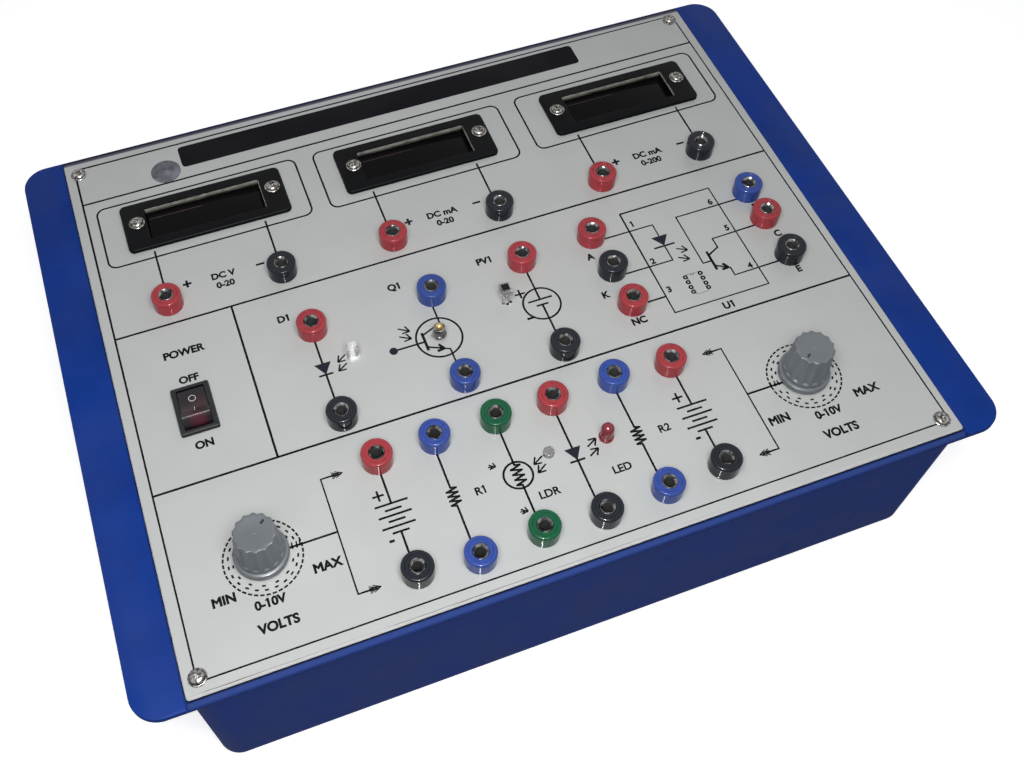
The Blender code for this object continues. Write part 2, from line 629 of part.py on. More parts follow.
# Panel meters: bezel and box in one moulding, with a display block under a tinted window
meter_top = FITTING_SEAT + METER_BEZEL
pane_seat = meter_top - WINDOW_RECESS - PANE_THICKNESS - SEAT_GAP
display_floor = pane_seat - DISPLAY_HEIGHT - SEAT_GAP
meter_bottom = display_floor - METER_BASE
display_room_width = WINDOW_WIDTH - 2 * DISPLAY_MARGIN
display_room_depth = WINDOW_DEPTH - 2 * DISPLAY_MARGIN
meter_body = rounded(METER_BODY_WIDTH, METER_BODY_DEPTH, METER_BODY_CORNER)
meter_flange = rounded(METER_WIDTH, METER_DEPTH, METER_CORNER)
window_room = rounded(WINDOW_WIDTH, WINDOW_DEPTH, WINDOW_CORNER)
display_room = rounded(display_room_width, display_room_depth, WINDOW_CORNER)
for number, shares in enumerate(METER_SHARES, start=1):
    meter_place = (*on_panel(shares), 0.0)
    shape = bmesh.new()
    add_loft(
        shape,
        (
            (meter_body, meter_bottom),
            (meter_body, FITTING_SEAT),
            (meter_flange, FITTING_SEAT),
            (meter_flange, meter_top - METER_EDGE),
            (rounded(METER_WIDTH, METER_DEPTH, METER_CORNER, inset=METER_EDGE), meter_top),
            (window_room, meter_top),
            (window_room, pane_seat),
            (display_room, pane_seat),
            (display_room, display_floor),
        ),
    )
    finish("meter_%d_housing" % number, shape, meter_black, meter_place)
    shape = bmesh.new()
    add_prism(
        shape,
        rounded(display_room_width, display_room_depth, WINDOW_CORNER, 1, inset=SEAT_GAP),
        display_floor + SEAT_GAP,
        pane_seat,
    )
    finish("meter_%d_display" % number, shape, display_dark, meter_place)
    shape = bmesh.new()
    add_prism(
        shape,
        rounded(WINDOW_WIDTH, WINDOW_DEPTH, WINDOW_CORNER, 1, inset=SEAT_GAP),
        pane_seat + SEAT_GAP,
        pane_seat + SEAT_GAP + PANE_THICKNESS,
    )
    finish("meter_%d_window" % number, shape, window_red, meter_place)

# Rocker switch frame: a bevelled bezel over a box with an open well
switch_x, switch_y = on_panel(SWITCH_SHARES)
switch_top = FITTING_SEAT + SWITCH_BEZEL
axis_z = switch_top - SWITCH_AXIS_DROP
well_floor = axis_z - ROCKER_KEEL - ROCKER_END_GAP
switch_bottom = well_floor - SWITCH_BASE
switch_body = rounded(SWITCH_BODY_WIDTH, SWITCH_BODY_DEPTH, SWITCH_CORNER)
switch_flange = rounded(SWITCH_WIDTH, SWITCH_DEPTH, SWITCH_CORNER)
switch_bevel = rounded(SWITCH_WIDTH - 2 * SWITCH_BEVEL, SWITCH_DEPTH - 2 * SWITCH_BEVEL, SWITCH_CORNER)
well_outline = rounded(WELL_WIDTH, WELL_DEPTH, WELL_CORNER)
shape = bmesh.new()
add_loft(
    shape,
    (
        (switch_body, switch_bottom),
        (switch_body, FITTING_SEAT),
        (switch_flange, FITTING_SEAT),
        (switch_flange, FITTING_SEAT + SWITCH_BEZEL_STEP),
        (switch_bevel, switch_top),
        (well_outline, switch_top),
        (well_outline, well_floor),
    ),
)
rocker_frame = finish("rocker_frame", shape, switch_black, (switch_x, switch_y, 0.0))

# Bores for the rocker's pins, across the well, and the three terminals below
shape = bmesh.new()
add_prism(
    shape,
    circle(ROCKER_PIN_DIAMETER + 2 * SEAT_GAP, HOLE_SIDES),
    -SWITCH_BODY_WIDTH / 2 - CUT_OVERRUN,
    SWITCH_BODY_WIDTH / 2 + CUT_OVERRUN,
)
cut_pins = helper("cut_rocker_pins", shape, place=(switch_x, switch_y, axis_z))
cut_pins.rotation_euler.y = math.pi / 2
join_shape(rocker_frame, cut_pins)
shape = bmesh.new()
for offset in (-TERMINAL_PITCH, 0.0, TERMINAL_PITCH):
    add_prism(
        shape,
        rounded(TERMINAL_WIDTH, TERMINAL_THICKNESS, TERMINAL_THICKNESS / 4, 1),
        switch_bottom - TERMINAL_LENGTH,
        switch_bottom + TERMINAL_EMBED,
        centre=(switch_x, switch_y + offset),
    )
join_shape(rocker_frame, helper("add_terminals", shape), "UNION")

# Rocker: a dished top, ends curved about the pivot and a flat belly, drawn level and then tipped
crest_turn = math.atan2(ROCKER_CREST, ROCKER_LENGTH / 2)
side_profile = [(ROCKER_BELLY_LENGTH / 2, -ROCKER_BELLY)]
for step in range(ROCKER_END_STEPS + 1):
    share = step / ROCKER_END_STEPS
    radius = ROCKER_FOOT_LENGTH / 2 * (1 - share) + ROCKER_END_RADIUS * share
    side_profile.append((radius * math.cos(crest_turn * share), radius * math.sin(crest_turn * share)))
side_profile += [(0.0, ROCKER_CREST - ROCKER_DISH)] + [(-y, z) for y, z in reversed(side_profile)]
shape = bmesh.new()
faces = []
for side in (-1, 1):
    faces.append([shape.verts.new((side * ROCKER_WIDTH / 2, y, z)) for y, z in side_profile])
for index in range(len(side_profile)):
    after = (index + 1) % len(side_profile)
    shape.faces.new((faces[0][index], faces[0][after], faces[1][after], faces[1][index]))
shape.faces.new(faces[0])
shape.faces.new(list(reversed(faces[1])))
rocker = finish("rocker", shape, rocker_red, (switch_x, switch_y, axis_z))
rocker.rotation_euler.x = -ROCKER_THROW / 2
shape = bmesh.new()
pin_end = ROCKER_WIDTH / 2 + ROCKER_SIDE_GAP + ROCKER_PIN_REACH
add_prism(shape, circle(ROCKER_PIN_DIAMETER, HOLE_SIDES), -pin_end, pin_end)
rocker_pins = helper("add_rocker_pins", shape, place=(switch_x, switch_y, axis_z))
rocker_pins.rotation_euler.y = math.pi / 2
join_shape(rocker, rocker_pins, "UNION")

# Potentiometers: body under the panel, bushing and nut through it, shaft into the knob
shape = bmesh.new()
add_loft(
    shape,
    (
        (circle(POT_BODY_DIAMETER, NUT_SIDES), PANEL_UNDERSIDE - SEAT_GAP - POT_BODY_HEIGHT),
        (circle(POT_BODY_DIAMETER, NUT_SIDES), PANEL_UNDERSIDE - SEAT_GAP),
        (circle(POT_BUSHING_DIAMETER, NUT_SIDES), PANEL_UNDERSIDE - SEAT_GAP),
        (circle(POT_BUSHING_DIAMETER, NUT_SIDES), FITTING_SEAT),
        (hexagon(POT_NUT_FLATS), FITTING_SEAT),
        (hexagon(POT_NUT_FLATS), FITTING_SEAT + POT_NUT_HEIGHT),
        (circle(POT_BUSHING_DIAMETER, NUT_SIDES), FITTING_SEAT + POT_NUT_HEIGHT),
        (circle(POT_BUSHING_DIAMETER, NUT_SIDES), POT_BUSHING_TOP),
        (circle(POT_SHAFT_DIAMETER, NUT_SIDES), POT_BUSHING_TOP),
        (circle(POT_SHAFT_DIAMETER, NUT_SIDES), POT_SHAFT_TOP),
    ),
)
pot = finish("potentiometer_left", shape, pot_metal, (*on_panel(LEFT_KNOB_SHARES), 0.0))
pot_right = bpy.data.objects.new("potentiometer_right", pot.data)
pot_right.location = (*on_panel(RIGHT_KNOB_SHARES), 0.0)
bpy.context.scene.collection.objects.link(pot_right)

# Knobs: smooth skirt, tapered fluted grip and a flat cap, bored from below for nut and shaft
knob_z = PANEL_TOP + KNOB_LIFT
nut_room_top = POT_BUSHING_TOP + SEAT_GAP - knob_z
shaft_room_top = POT_SHAFT_TOP + SEAT_GAP - knob_z
nut_room = POT_NUT_FLATS / math.cos(math.pi / 6) + 2 * KNOB_ROOM_MARGIN
knob_top = shaft_room_top + KNOB_ROOF
waist_top = KNOB_SKIRT_HEIGHT + KNOB_WAIST_HEIGHT
waist_diameter = KNOB_SKIRT_DIAMETER - 2 * KNOB_WAIST_INSET
grip_diameter = waist_diameter - 2 * KNOB_GRIP_TAPER
shape = bmesh.new()
add_loft(
    shape,
    (
        (fluted(KNOB_SKIRT_DIAMETER, 0.0), 0.0),
        (fluted(KNOB_SKIRT_DIAMETER, 0.0), KNOB_SKIRT_HEIGHT),
        (fluted(waist_diameter, 0.0), waist_top),
        (fluted(waist_diameter, KNOB_FLUTE_DEPTH), waist_top + KNOB_FLUTE_DEPTH),
        (fluted(grip_diameter, KNOB_FLUTE_DEPTH), knob_top - KNOB_CAP_HEIGHT),
        (fluted(grip_diameter - 2 * KNOB_CAP_BEVEL, KNOB_FLUTE_DEPTH), knob_top),
    ),
)
knob = finish("knob_left", shape, knob_grey, (*on_panel(LEFT_KNOB_SHARES), knob_z))
knob.rotation_euler.z = KNOB_LEFT_POINTER
knob_right = bpy.data.objects.new("knob_right", knob.data)
knob_right.location = (*on_panel(RIGHT_KNOB_SHARES), knob_z)
knob_right.rotation_euler.z = KNOB_RIGHT_POINTER
bpy.context.scene.collection.objects.link(knob_right)
for piece in (knob, knob_right):
    shape = bmesh.new()
    add_loft(
        shape,
        (
            (circle(nut_room), -CUT_OVERRUN),
            (circle(nut_room), nut_room_top),
            (circle(POT_SHAFT_DIAMETER + 2 * SEAT_GAP), nut_room_top),
            (circle(POT_SHAFT_DIAMETER + 2 * SEAT_GAP), shaft_room_top),
        ),
    )
    join_shape(piece, helper("cut_" + piece.name, shape, place=piece.location))

# Sockets: a round insulating head on a barrel that passes the panel, with a blind 4 mm bore
head_top = FITTING_SEAT + SOCKET_HEAD_HEIGHT
barrel_end = head_top - SOCKET_BORE_DEPTH - SOCKET_TAIL
socket_meshes = {}
for name, shares in SOCKET_SHARES.items():
    colour = name.rsplit("_", 1)[1]
    if colour in socket_meshes:
        socket = bpy.data.objects.new(name, socket_meshes[colour])
        bpy.context.scene.collection.objects.link(socket)
        socket.location = (*on_panel(shares), 0.0)
        continue
    shape = bmesh.new()
    add_loft(
        shape,
        (
            (circle(SOCKET_BARREL_DIAMETER), barrel_end),
            (circle(SOCKET_BARREL_DIAMETER), FITTING_SEAT),
            (circle(SOCKET_HEAD_DIAMETER), FITTING_SEAT),
            (circle(SOCKET_HEAD_DIAMETER), head_top - SOCKET_HEAD_EDGE),
            (circle(SOCKET_HEAD_DIAMETER - 2 * SOCKET_HEAD_EDGE), head_top),
            (circle(SOCKET_BORE), head_top),
            (circle(SOCKET_BORE), head_top - SOCKET_BORE_DEPTH),
        ),
    )
    socket = finish(name, shape, socket_colours[colour], (*on_panel(shares), 0.0))
    socket_meshes[colour] = socket.data


def dome(diameter, height, base, rings=DOME_RINGS):
    """Sections of a rounded end that rises from base, without its first ring."""
    sections = []
    for ring in range(1, rings + 1):
        turn = math.pi / 2 * ring / (rings + 1)
        sections.append((circle(diameter * math.cos(turn)), base + height * math.sin(turn)))
    return sections


def add_legs(piece, legs, top):
    """Gives a part square wire legs that pass through the panel."""
    shape = bmesh.new()
    for place in legs:
        leg = rounded(LEG_WIDTH, LEG_WIDTH, LEG_WIDTH / 4, 1)
        add_prism(shape, leg, PANEL_UNDERSIDE - LEG_DEPTH, top + LEG_EMBED, centre=place)
    join_shape(piece, helper("legs_" + piece.name, shape, place=piece.location), "UNION")


# Photo diode and LED: flanged 5 mm lamps with domed ends
lamp_shoulder = FITTING_SEAT + LAMP_FLANGE_HEIGHT
dome_base = FITTING_SEAT + LAMP_HEIGHT - LAMP_DIAMETER / 2
for name, shares, material in (
    ("photodiode", PHOTODIODE_SHARES, clear_resin),
    ("led", LED_SHARES, led_red),
):
    shape = bmesh.new()
    add_loft(
        shape,
        [
            (circle(LAMP_DIAMETER + 2 * LAMP_FLANGE_REACH), FITTING_SEAT),
            (circle(LAMP_DIAMETER + 2 * LAMP_FLANGE_REACH), lamp_shoulder),
            (circle(LAMP_DIAMETER), lamp_shoulder),
            (circle(LAMP_DIAMETER), dome_base),
            *dome(LAMP_DIAMETER, LAMP_DIAMETER / 2, dome_base),
        ],
    )
    lamp = finish(name, shape, material, (*on_panel(shares), 0.0))
    add_legs(lamp, LAMP_LEGS, FITTING_SEAT)

# Photo transistor: a flanged metal can with a lens, held up on three legs
can_base = PANEL_TOP + CAN_STANDOFF
can_roof = can_base + CAN_RIM_HEIGHT + CAN_WALL_HEIGHT
shape = bmesh.new()
add_loft(
    shape,
    [
        (circle(CAN_DIAMETER + 2 * CAN_RIM_REACH), can_base),
        (circle(CAN_DIAMETER + 2 * CAN_RIM_REACH), can_base + CAN_RIM_HEIGHT),
        (circle(CAN_DIAMETER), can_base + CAN_RIM_HEIGHT),
        (circle(CAN_DIAMETER), can_roof),
        (circle(CAN_DIAMETER - 2 * CAN_ROOF_EDGE), can_roof + CAN_ROOF_EDGE),
        *dome(CAN_DIAMETER - 2 * CAN_ROOF_EDGE, CAN_LENS_HEIGHT, can_roof + CAN_ROOF_EDGE),
    ],
)
can = finish("phototransistor", shape, gold_can, (*on_panel(PHOTOTRANSISTOR_SHARES), 0.0))
add_legs(can, CAN_LEGS, can_base)

# Photovoltaic cell: a flat clear package held up on its two legs
cell_base = PANEL_TOP + CELL_STANDOFF
cell_middle = cell_base + CELL_THICKNESS / 2
cell_top = cell_base + CELL_THICKNESS
shape = bmesh.new()
add_loft(
    shape,
    (
        (rounded(CELL_WIDTH - 2 * CELL_DRAFT, CELL_DEPTH - 2 * CELL_DRAFT, CELL_CORNER), cell_base),
        (rounded(CELL_WIDTH, CELL_DEPTH, CELL_CORNER), cell_middle),
        (rounded(CELL_WIDTH - 2 * CELL_DRAFT, CELL_DEPTH - 2 * CELL_DRAFT, CELL_CORNER), cell_top),
    ),
)
cell = finish("photovoltaic_cell", shape, cell_resin, (*on_panel(CELL_SHARES), 0.0))
add_legs(cell, CELL_LEGS, cell_base)

# Light-dependent resistor: a low disc with two flats
ldr_outline = rounded(LDR_WIDTH, LDR_DEPTH, LDR_CORNER)
ldr_top = FITTING_SEAT + LDR_HEIGHT
shape = bmesh.new()
add_loft(
    shape,
    (
        (ldr_outline, FITTING_SEAT),
        (ldr_outline, ldr_top - LDR_EDGE),
        (rounded(LDR_WIDTH, LDR_DEPTH, LDR_CORNER, inset=LDR_EDGE), ldr_top),
    ),
)
ldr = finish("light_dependent_resistor", shape, ldr_resin, (*on_panel(LDR_SHARES), 0.0))
add_legs(ldr, LDR_LEGS, FITTING_SEAT)

# Mains inlet: a flange, a deep mouth and three flat pins, drawn facing up and laid back
flange_top = SEAT_GAP + INLET_FLANGE_THICKNESS
mouth_floor = flange_top - INLET_MOUTH_DEPTH
inlet_back = mouth_floor - INLET_FLOOR
inlet_body = rounded(INLET_BODY_WIDTH, INLET_BODY_HEIGHT, INLET_CORNER)
inlet_flange = rounded(INLET_FLANGE_WIDTH, INLET_FLANGE_HEIGHT, INLET_CORNER)
inlet_mouth = rounded(INLET_MOUTH_WIDTH, INLET_MOUTH_HEIGHT, INLET_MOUTH_CORNER)
shape = bmesh.new()
add_loft(
    shape,
    (
        (inlet_body, inlet_back),
        (inlet_body, SEAT_GAP),
        (inlet_flange, SEAT_GAP),
        (inlet_flange, flange_top - INLET_FLANGE_EDGE),
        (
            rounded(INLET_FLANGE_WIDTH, INLET_FLANGE_HEIGHT, INLET_CORNER, inset=INLET_FLANGE_EDGE),
            flange_top,
        ),
        (inlet_mouth, flange_top),
        (inlet_mouth, mouth_floor),
    ),
)
inlet = finish("mains_inlet", shape, inlet_black, (inlet_x, pocket_y, inlet_z))
inlet.rotation_euler.x = -math.pi / 2
shape = bmesh.new()
for pin_x, pin_y in (
    (-INLET_PIN_PITCH, INLET_EARTH_RISE),
    (INLET_PIN_PITCH, INLET_EARTH_RISE),
    (0.0, -INLET_EARTH_RISE),
):
    add_prism(
        shape,
        rounded(INLET_PIN_THICKNESS, INLET_PIN_WIDTH, INLET_PIN_THICKNESS / 4, 1),
        mouth_floor - INLET_PIN_EMBED,
        flange_top - INLET_PIN_SET_BACK,
        centre=(pin_x, pin_y),
    )
inlet_pins = helper("add_inlet_pins", shape, place=inlet.location)
inlet_pins.rotation_euler.x = -math.pi / 2
join_shape(inlet, inlet_pins, "UNION")
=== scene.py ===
"""Optoelectronics trainer: the looks of a closed bench case whose printed panel carries three
panel meters, a rocker switch, two control knobs, thirty 4 mm sockets and the parts under study.
Metres, +Z up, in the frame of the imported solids."""

import math

import bmesh
import bpy
from mathutils import Matrix, Vector


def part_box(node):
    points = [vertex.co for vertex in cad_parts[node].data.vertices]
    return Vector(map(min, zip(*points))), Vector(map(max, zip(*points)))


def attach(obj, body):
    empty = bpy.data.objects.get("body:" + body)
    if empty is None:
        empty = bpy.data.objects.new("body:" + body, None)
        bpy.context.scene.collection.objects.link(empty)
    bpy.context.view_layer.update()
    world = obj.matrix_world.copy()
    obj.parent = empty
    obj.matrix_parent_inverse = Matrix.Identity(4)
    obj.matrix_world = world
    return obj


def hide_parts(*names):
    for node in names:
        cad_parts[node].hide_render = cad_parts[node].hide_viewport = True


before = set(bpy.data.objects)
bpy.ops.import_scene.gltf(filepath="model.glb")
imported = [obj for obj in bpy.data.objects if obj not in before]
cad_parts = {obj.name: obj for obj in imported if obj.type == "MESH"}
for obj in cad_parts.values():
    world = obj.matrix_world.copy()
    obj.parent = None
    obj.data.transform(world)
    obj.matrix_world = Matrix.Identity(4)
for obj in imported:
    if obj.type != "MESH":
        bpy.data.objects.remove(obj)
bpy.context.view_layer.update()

MM = 0.001
scene = bpy.context.scene
scene.view_settings.view_transform = "Standard"

# Camera
# It stands where the photograph was taken from: in front of the left half of the case, looking
# down at the panel, with the lens axis a little off the middle of the frame.
CAMERA_PLACE = (-0.1027, -0.2612, 0.4639)
CAMERA_TURN = [math.radians(turn) for turn in (33.975, -0.217, -20.146)]
CAMERA_LENS = 40.89
CAMERA_SENSOR = 36.0
CAMERA_SHIFT = (0.0434, -0.0565)
NEAREST_SIGHT = 0.01

bpy.ops.object.camera_add(location=CAMERA_PLACE, rotation=CAMERA_TURN)
camera = bpy.context.object
camera.data.lens = CAMERA_LENS
camera.data.sensor_width = CAMERA_SENSOR
camera.data.shift_x, camera.data.shift_y = CAMERA_SHIFT
camera.data.clip_start = NEAREST_SIGHT
scene.camera = camera

# Studio
# A pale floor that keeps the shadow, a white surround that shows to the camera and in metal and
# glass, a soft lamp above the near edge of the case, a weak one behind its right side, and beside
# the camera a small one that only glossy faces show.
FLOOR_SIZE = 6.0
WHITE = (1.0, 1.0, 1.0, 1.0)
FILL_COLOUR = (0.93, 0.96, 1.0, 1.0)
FILL_STRENGTH = 0.15
PAPER_LIT = (0.27, 0.28, 0.30, 1.0)
PAPER_SEEN = (0.80, 0.80, 0.80, 1.0)
PAPER_GLOW = 0.68
PAPER_ROUGHNESS = 0.9


def shader_node(tree, kind, inputs=None, **settings):
    """Adds a shader node, with its settings and with a value or a link for each named input."""
    made = tree.nodes.new(kind)
    for name, value in settings.items():
        setattr(made, name, value)
    for name, value in (inputs or {}).items():
        if isinstance(value, bpy.types.NodeSocket):
            tree.links.new(value, made.inputs[name])
        else:
            made.inputs[name].default_value = value
    return made


def empty_material(name):
    """A node material with nothing but its output, which is returned with the tree."""
    made = bpy.data.materials.new(name)
    made.use_nodes = True
    made.node_tree.nodes.clear()
    output = shader_node(made.node_tree, "ShaderNodeOutputMaterial")
    return made, made.node_tree, output


def surface_shader(tree, output, inputs):
    """Joins a Principled shader with these inputs to a material's output."""
    made = shader_node(tree, "ShaderNodeBsdfPrincipled", inputs)
    tree.links.new(made.outputs[0], output.inputs["Surface"])


def calculate(tree, operation, first, second=0.0):
    """The result of one sum."""
    return shader_node(tree, "ShaderNodeMath", {0: first, 1: second}, operation=operation).outputs[0]


def multiply(tree, first, second):
    """The product of two values. Of two masks, it is where they meet."""
    return calculate(tree, "MULTIPLY", first, second)


def blend_colour(tree, share, first, second):
    """Two colours mixed by a share."""
    return shader_node(tree, "ShaderNodeMix", {0: share, 6: first, 7: second}, data_type="RGBA").outputs[2]


def direct_sight(tree):
    """1 where the camera, a reflection or glass looks at the surround, and 0 for its light."""
    rays = shader_node(tree, "ShaderNodeLightPath").outputs
    seen = calculate(tree, "MAXIMUM", rays["Is Camera Ray"], rays["Is Glossy Ray"])
    return calculate(tree, "MAXIMUM", seen, rays["Is Transmission Ray"])


world = bpy.data.worlds.new("studio_surround")
world.use_nodes = True
scene.world = world
tree = world.node_tree
tree.nodes.clear()
fill_light = shader_node(tree, "ShaderNodeBackground", {"Color": FILL_COLOUR, "Strength": FILL_STRENGTH})
white_view = shader_node(tree, "ShaderNodeBackground", {"Color": WHITE, "Strength": 1.0})
surround = shader_node(
    tree,
    "ShaderNodeMixShader",
    {0: direct_sight(tree), 1: fill_light.outputs[0], 2: white_view.outputs[0]},
)
shader_node(tree, "ShaderNodeOutputWorld", {"Surface": surround.outputs[0]})

bpy.ops.mesh.primitive_plane_add(size=FLOOR_SIZE)
floor = bpy.context.object
floor.name = "studio_floor"
paper, tree, output = empty_material("floor_paper")
looked_at = shader_node(tree, "ShaderNodeLightPath").outputs["Is Camera Ray"]
surface_shader(
    tree,
    output,
    {
        "Base Color": blend_colour(tree, looked_at, PAPER_LIT, PAPER_SEEN),
        "Roughness": PAPER_ROUGHNESS,
        "Emission Color": WHITE,
        "Emission Strength": multiply(tree, looked_at, PAPER_GLOW),
    },
)
floor.data.materials.append(paper)


def add_softbox(name, place, target, size, power, shows):
    """A square area lamp that faces a target, and that glossy faces may show."""
    bpy.ops.object.light_add(type="AREA", location=place)
    lamp = bpy.context.object
    lamp.name = name
    lamp.data.size = size
    lamp.data.energy = power
    lamp.visible_camera = False
    lamp.visible_glossy = shows
    lamp.rotation_euler = (Vector(target) - Vector(place)).to_track_quat("-Z", "Y").to_euler()


add_softbox(
    "key_softbox", place=(-0.08, -0.22, 0.49), target=(-0.07, -0.12, 0.08),
    size=0.24, power=1.95, shows=True,
)
add_softbox(
    "rear_softbox", place=(0.70, 0.80, 0.90), target=(0.0, 0.0, 0.05),
    size=0.8, power=1.2, shows=False,
)
add_softbox(
    "glint_lamp", place=(-0.1027, -0.2640, 0.4670), target=(-0.05, -0.05, 0.08),
    size=0.008, power=2.4, shows=True,
)
bpy.data.objects["glint_lamp"].visible_diffuse = False

# Case rim
# One moulded frame of royal blue ABS with a grab wing at each side. The panel lies in its pocket,
# and its lip slopes down along the front and stays flat along the back. Its blue carries painted
# shade along the back and beside the panel, and a painted sheen on the front lip.
RIM_CORNER = 10.5 * MM
RIM_EDGE = 0.5 * MM
RIM_LEDGE = 4.0 * MM
CORNER_STEPS = 14
POCKET_CORNER = 1.5 * MM
OPENING_CORNER = 14.0 * MM
LIP_RUN = 1.9 * MM
LIP_DROP = 2.2 * MM
SEAT_GAP = 0.3 * MM
CUT_OVERRUN = 5.0 * MM
SAME_LEVEL = 1e-7
SAME_PLACE = 1e-6


def deselect_all():
    """Leaves edit mode and deselects every object."""
    if bpy.context.object and bpy.context.object.mode != "OBJECT":
        bpy.ops.object.mode_set(mode="OBJECT")
    bpy.ops.object.select_all(action="DESELECT")


def hold(piece):
    """Selects one piece alone and makes it the active one."""
    deselect_all()
    piece.select_set(True)
    bpy.context.view_layer.objects.active = piece


def settle():
    """Puts the held piece's place, turn and scale into its mesh."""
    bpy.ops.object.transform_apply(location=True, rotation=True, scale=True)


def edit_mesh():
    """Enters edit mode and returns the mesh to select in."""
    if bpy.context.object.mode != "EDIT":
        bpy.ops.object.mode_set(mode="EDIT")
    return bmesh.from_edit_mesh(bpy.context.object.data)


def select_whole_mesh():
    """Enters edit mode and selects everything."""
    edit_mesh()
    bpy.ops.mesh.select_all(action="SELECT")


def resize(factors, about):
    """Scales what is selected in edit mode about a point."""
    bpy.ops.transform.resize(value=factors, center_override=about)


def select_edges(test):
    """Selects, in edit mode, the edges whose two ends pass the test."""
    mesh = edit_mesh()
    bpy.ops.mesh.select_mode(type="EDGE")
    bpy.ops.mesh.select_all(action="DESELECT")
    for edge in mesh.edges:
        if test(edge.verts[0].co, edge.verts[1].co):
            edge.select_set(True)
    bmesh.update_edit_mesh(bpy.context.object.data)


def select_faces(test):
    """Selects, in edit mode, the faces whose centre and normal pass the test."""
    mesh = edit_mesh()
    bpy.ops.mesh.select_mode(type="FACE")
    bpy.ops.mesh.select_all(action="DESELECT")
    mesh.normal_update()
    for face in mesh.faces:
        if test(face.calc_center_median(), face.normal):
            face.select_set(True)
    bmesh.update_edit_mesh(bpy.context.object.data)


def upright(a, b):
    """Whether an edge runs along Z."""
    return math.hypot(a.x - b.x, a.y - b.y) < SAME_PLACE


def block(name, low, high, corner=0.0, corner_steps=8, edge=0.0, edge_steps=3, both_ends=True):
    """A box between two corners with rounded upright corners, and rounded rims above and below."""
    deselect_all()
    low = Vector(low)
    high = Vector(high)
    bpy.ops.mesh.primitive_cube_add(size=1.0, location=(low + high) / 2)
    piece = bpy.context.object
    piece.name = name
    piece.scale = high - low
    settle()
    if corner:
        select_edges(upright)
        bpy.ops.mesh.bevel(offset=corner, segments=corner_steps, affect="EDGES")
    if edge:
        rims = (low.z, high.z) if both_ends else (high.z,)
        select_edges(
            lambda a, b: abs(a.z - b.z) < SAME_LEVEL and any(abs(a.z - rim) < SAME_LEVEL for rim in rims)
        )
        bpy.ops.mesh.bevel(offset=edge, segments=edge_steps, affect="EDGES")
    deselect_all()
    return piece


def cut(piece, cutter, operation="DIFFERENCE"):
    """Applies a Boolean and removes the cutter."""
    change = piece.modifiers.new("cut", "BOOLEAN")
    change.operation = operation
    change.solver = "EXACT"
    change.object = cutter
    hold(piece)
    bpy.ops.object.modifier_apply(modifier=change.name)
    bpy.data.objects.remove(cutter)


def finish_piece(piece, body, material, smooth=35.0):
    """Bakes the piece's place into its mesh, smooths it by angle and gives it its finish and body."""
    hold(piece)
    settle()
    if smooth:
        bpy.ops.object.shade_smooth_by_angle(angle=math.radians(smooth))
    if material:
        piece.data.materials.clear()
        piece.data.materials.append(material)
    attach(piece, body)
    deselect_all()
    return piece


def new_group(name, inputs, outputs):
    """A shader node group with named value inputs and outputs. It returns tree, inlet and outlet."""
    group = bpy.data.node_groups.new(name, "ShaderNodeTree")
    for socket_name, kind, default in inputs:
        socket = group.interface.new_socket(name=socket_name, in_out="INPUT", socket_type=kind)
        if default is not None:
            socket.default_value = default
    for socket_name, kind in outputs:
        group.interface.new_socket(name=socket_name, in_out="OUTPUT", socket_type=kind)
    inlet = group.nodes.new("NodeGroupInput")
    outlet = group.nodes.new("NodeGroupOutput")
    return group, inlet, outlet


def remap(tree, value, low, high, to_low=0.0, to_high=1.0):
    """A value's range from low to high, stretched and clamped to another range."""
    made = shader_node(
        tree,
        "ShaderNodeMapRange",
        {"Value": value, "From Min": low, "From Max": high, "To Min": to_low, "To Max": to_high},
    )
    return made.outputs[0]


def cloud(tree, where, scale, detail=3.0):
    """Smooth noise at a scale per metre."""
    made = shader_node(tree, "ShaderNodeTexNoise", {"Vector": where, "Scale": scale, "Detail": detail})
    return made.outputs["Fac"]


def relief_normal(tree, height, strength, distance):
    """The normal of a surface with fine relief."""
    made = shader_node(tree, "ShaderNodeBump", {"Height": height, "Strength": strength, "Distance": distance})
    return made.outputs[0]


# Grain that a spark-eroded mould leaves: fine bumps, and patches that are a little paler
GRAINS_PER_PATCH = 60.0
grain_group, inlet, outlet = new_group(
    "moulded_grain",
    (("Vector", "NodeSocketVector", None), ("Grain Size", "NodeSocketFloat", 0.4 * MM)),
    (("Height", "NodeSocketFloat"), ("Patch", "NodeSocketFloat")),
)
per_metre = calculate(grain_group, "DIVIDE", 1.0, inlet.outputs["Grain Size"])
height = cloud(grain_group, inlet.outputs["Vector"], per_metre, 2.0)
patch_scale = calculate(grain_group, "DIVIDE", per_metre, GRAINS_PER_PATCH)
patch = cloud(grain_group, inlet.outputs["Vector"], patch_scale, 4.0)
grain_group.links.new(height, outlet.inputs["Height"])
grain_group.links.new(patch, outlet.inputs["Patch"])

# Wear where hands and benches rub an edge: a band along sharp edges, broken up by noise. The same
# band also carries painted shade on the socket heads and a painted highlight on the rocker's crest.
WEAR_BREAKS = 420.0
wear_group, inlet, outlet = new_group(
    "edge_wear",
    (("Vector", "NodeSocketVector", None), ("Radius", "NodeSocketFloat", 0.5 * MM)),
    (("Mask", "NodeSocketFloat"),),
)
softened = shader_node(wear_group, "ShaderNodeBevel", {"Radius": inlet.outputs["Radius"]}, samples=4)
geometry = shader_node(wear_group, "ShaderNodeNewGeometry")
likeness = shader_node(
    wear_group,
    "ShaderNodeVectorMath",
    {0: softened.outputs[0], 1: geometry.outputs["Normal"]},
    operation="DOT_PRODUCT",
)
edge_share = remap(wear_group, likeness.outputs["Value"], 0.995, 0.90)
broken = remap(wear_group, cloud(wear_group, inlet.outputs["Vector"], WEAR_BREAKS, 5.0), 0.42, 0.62)
wear_group.links.new(multiply(wear_group, edge_share, broken), outlet.inputs["Mask"])

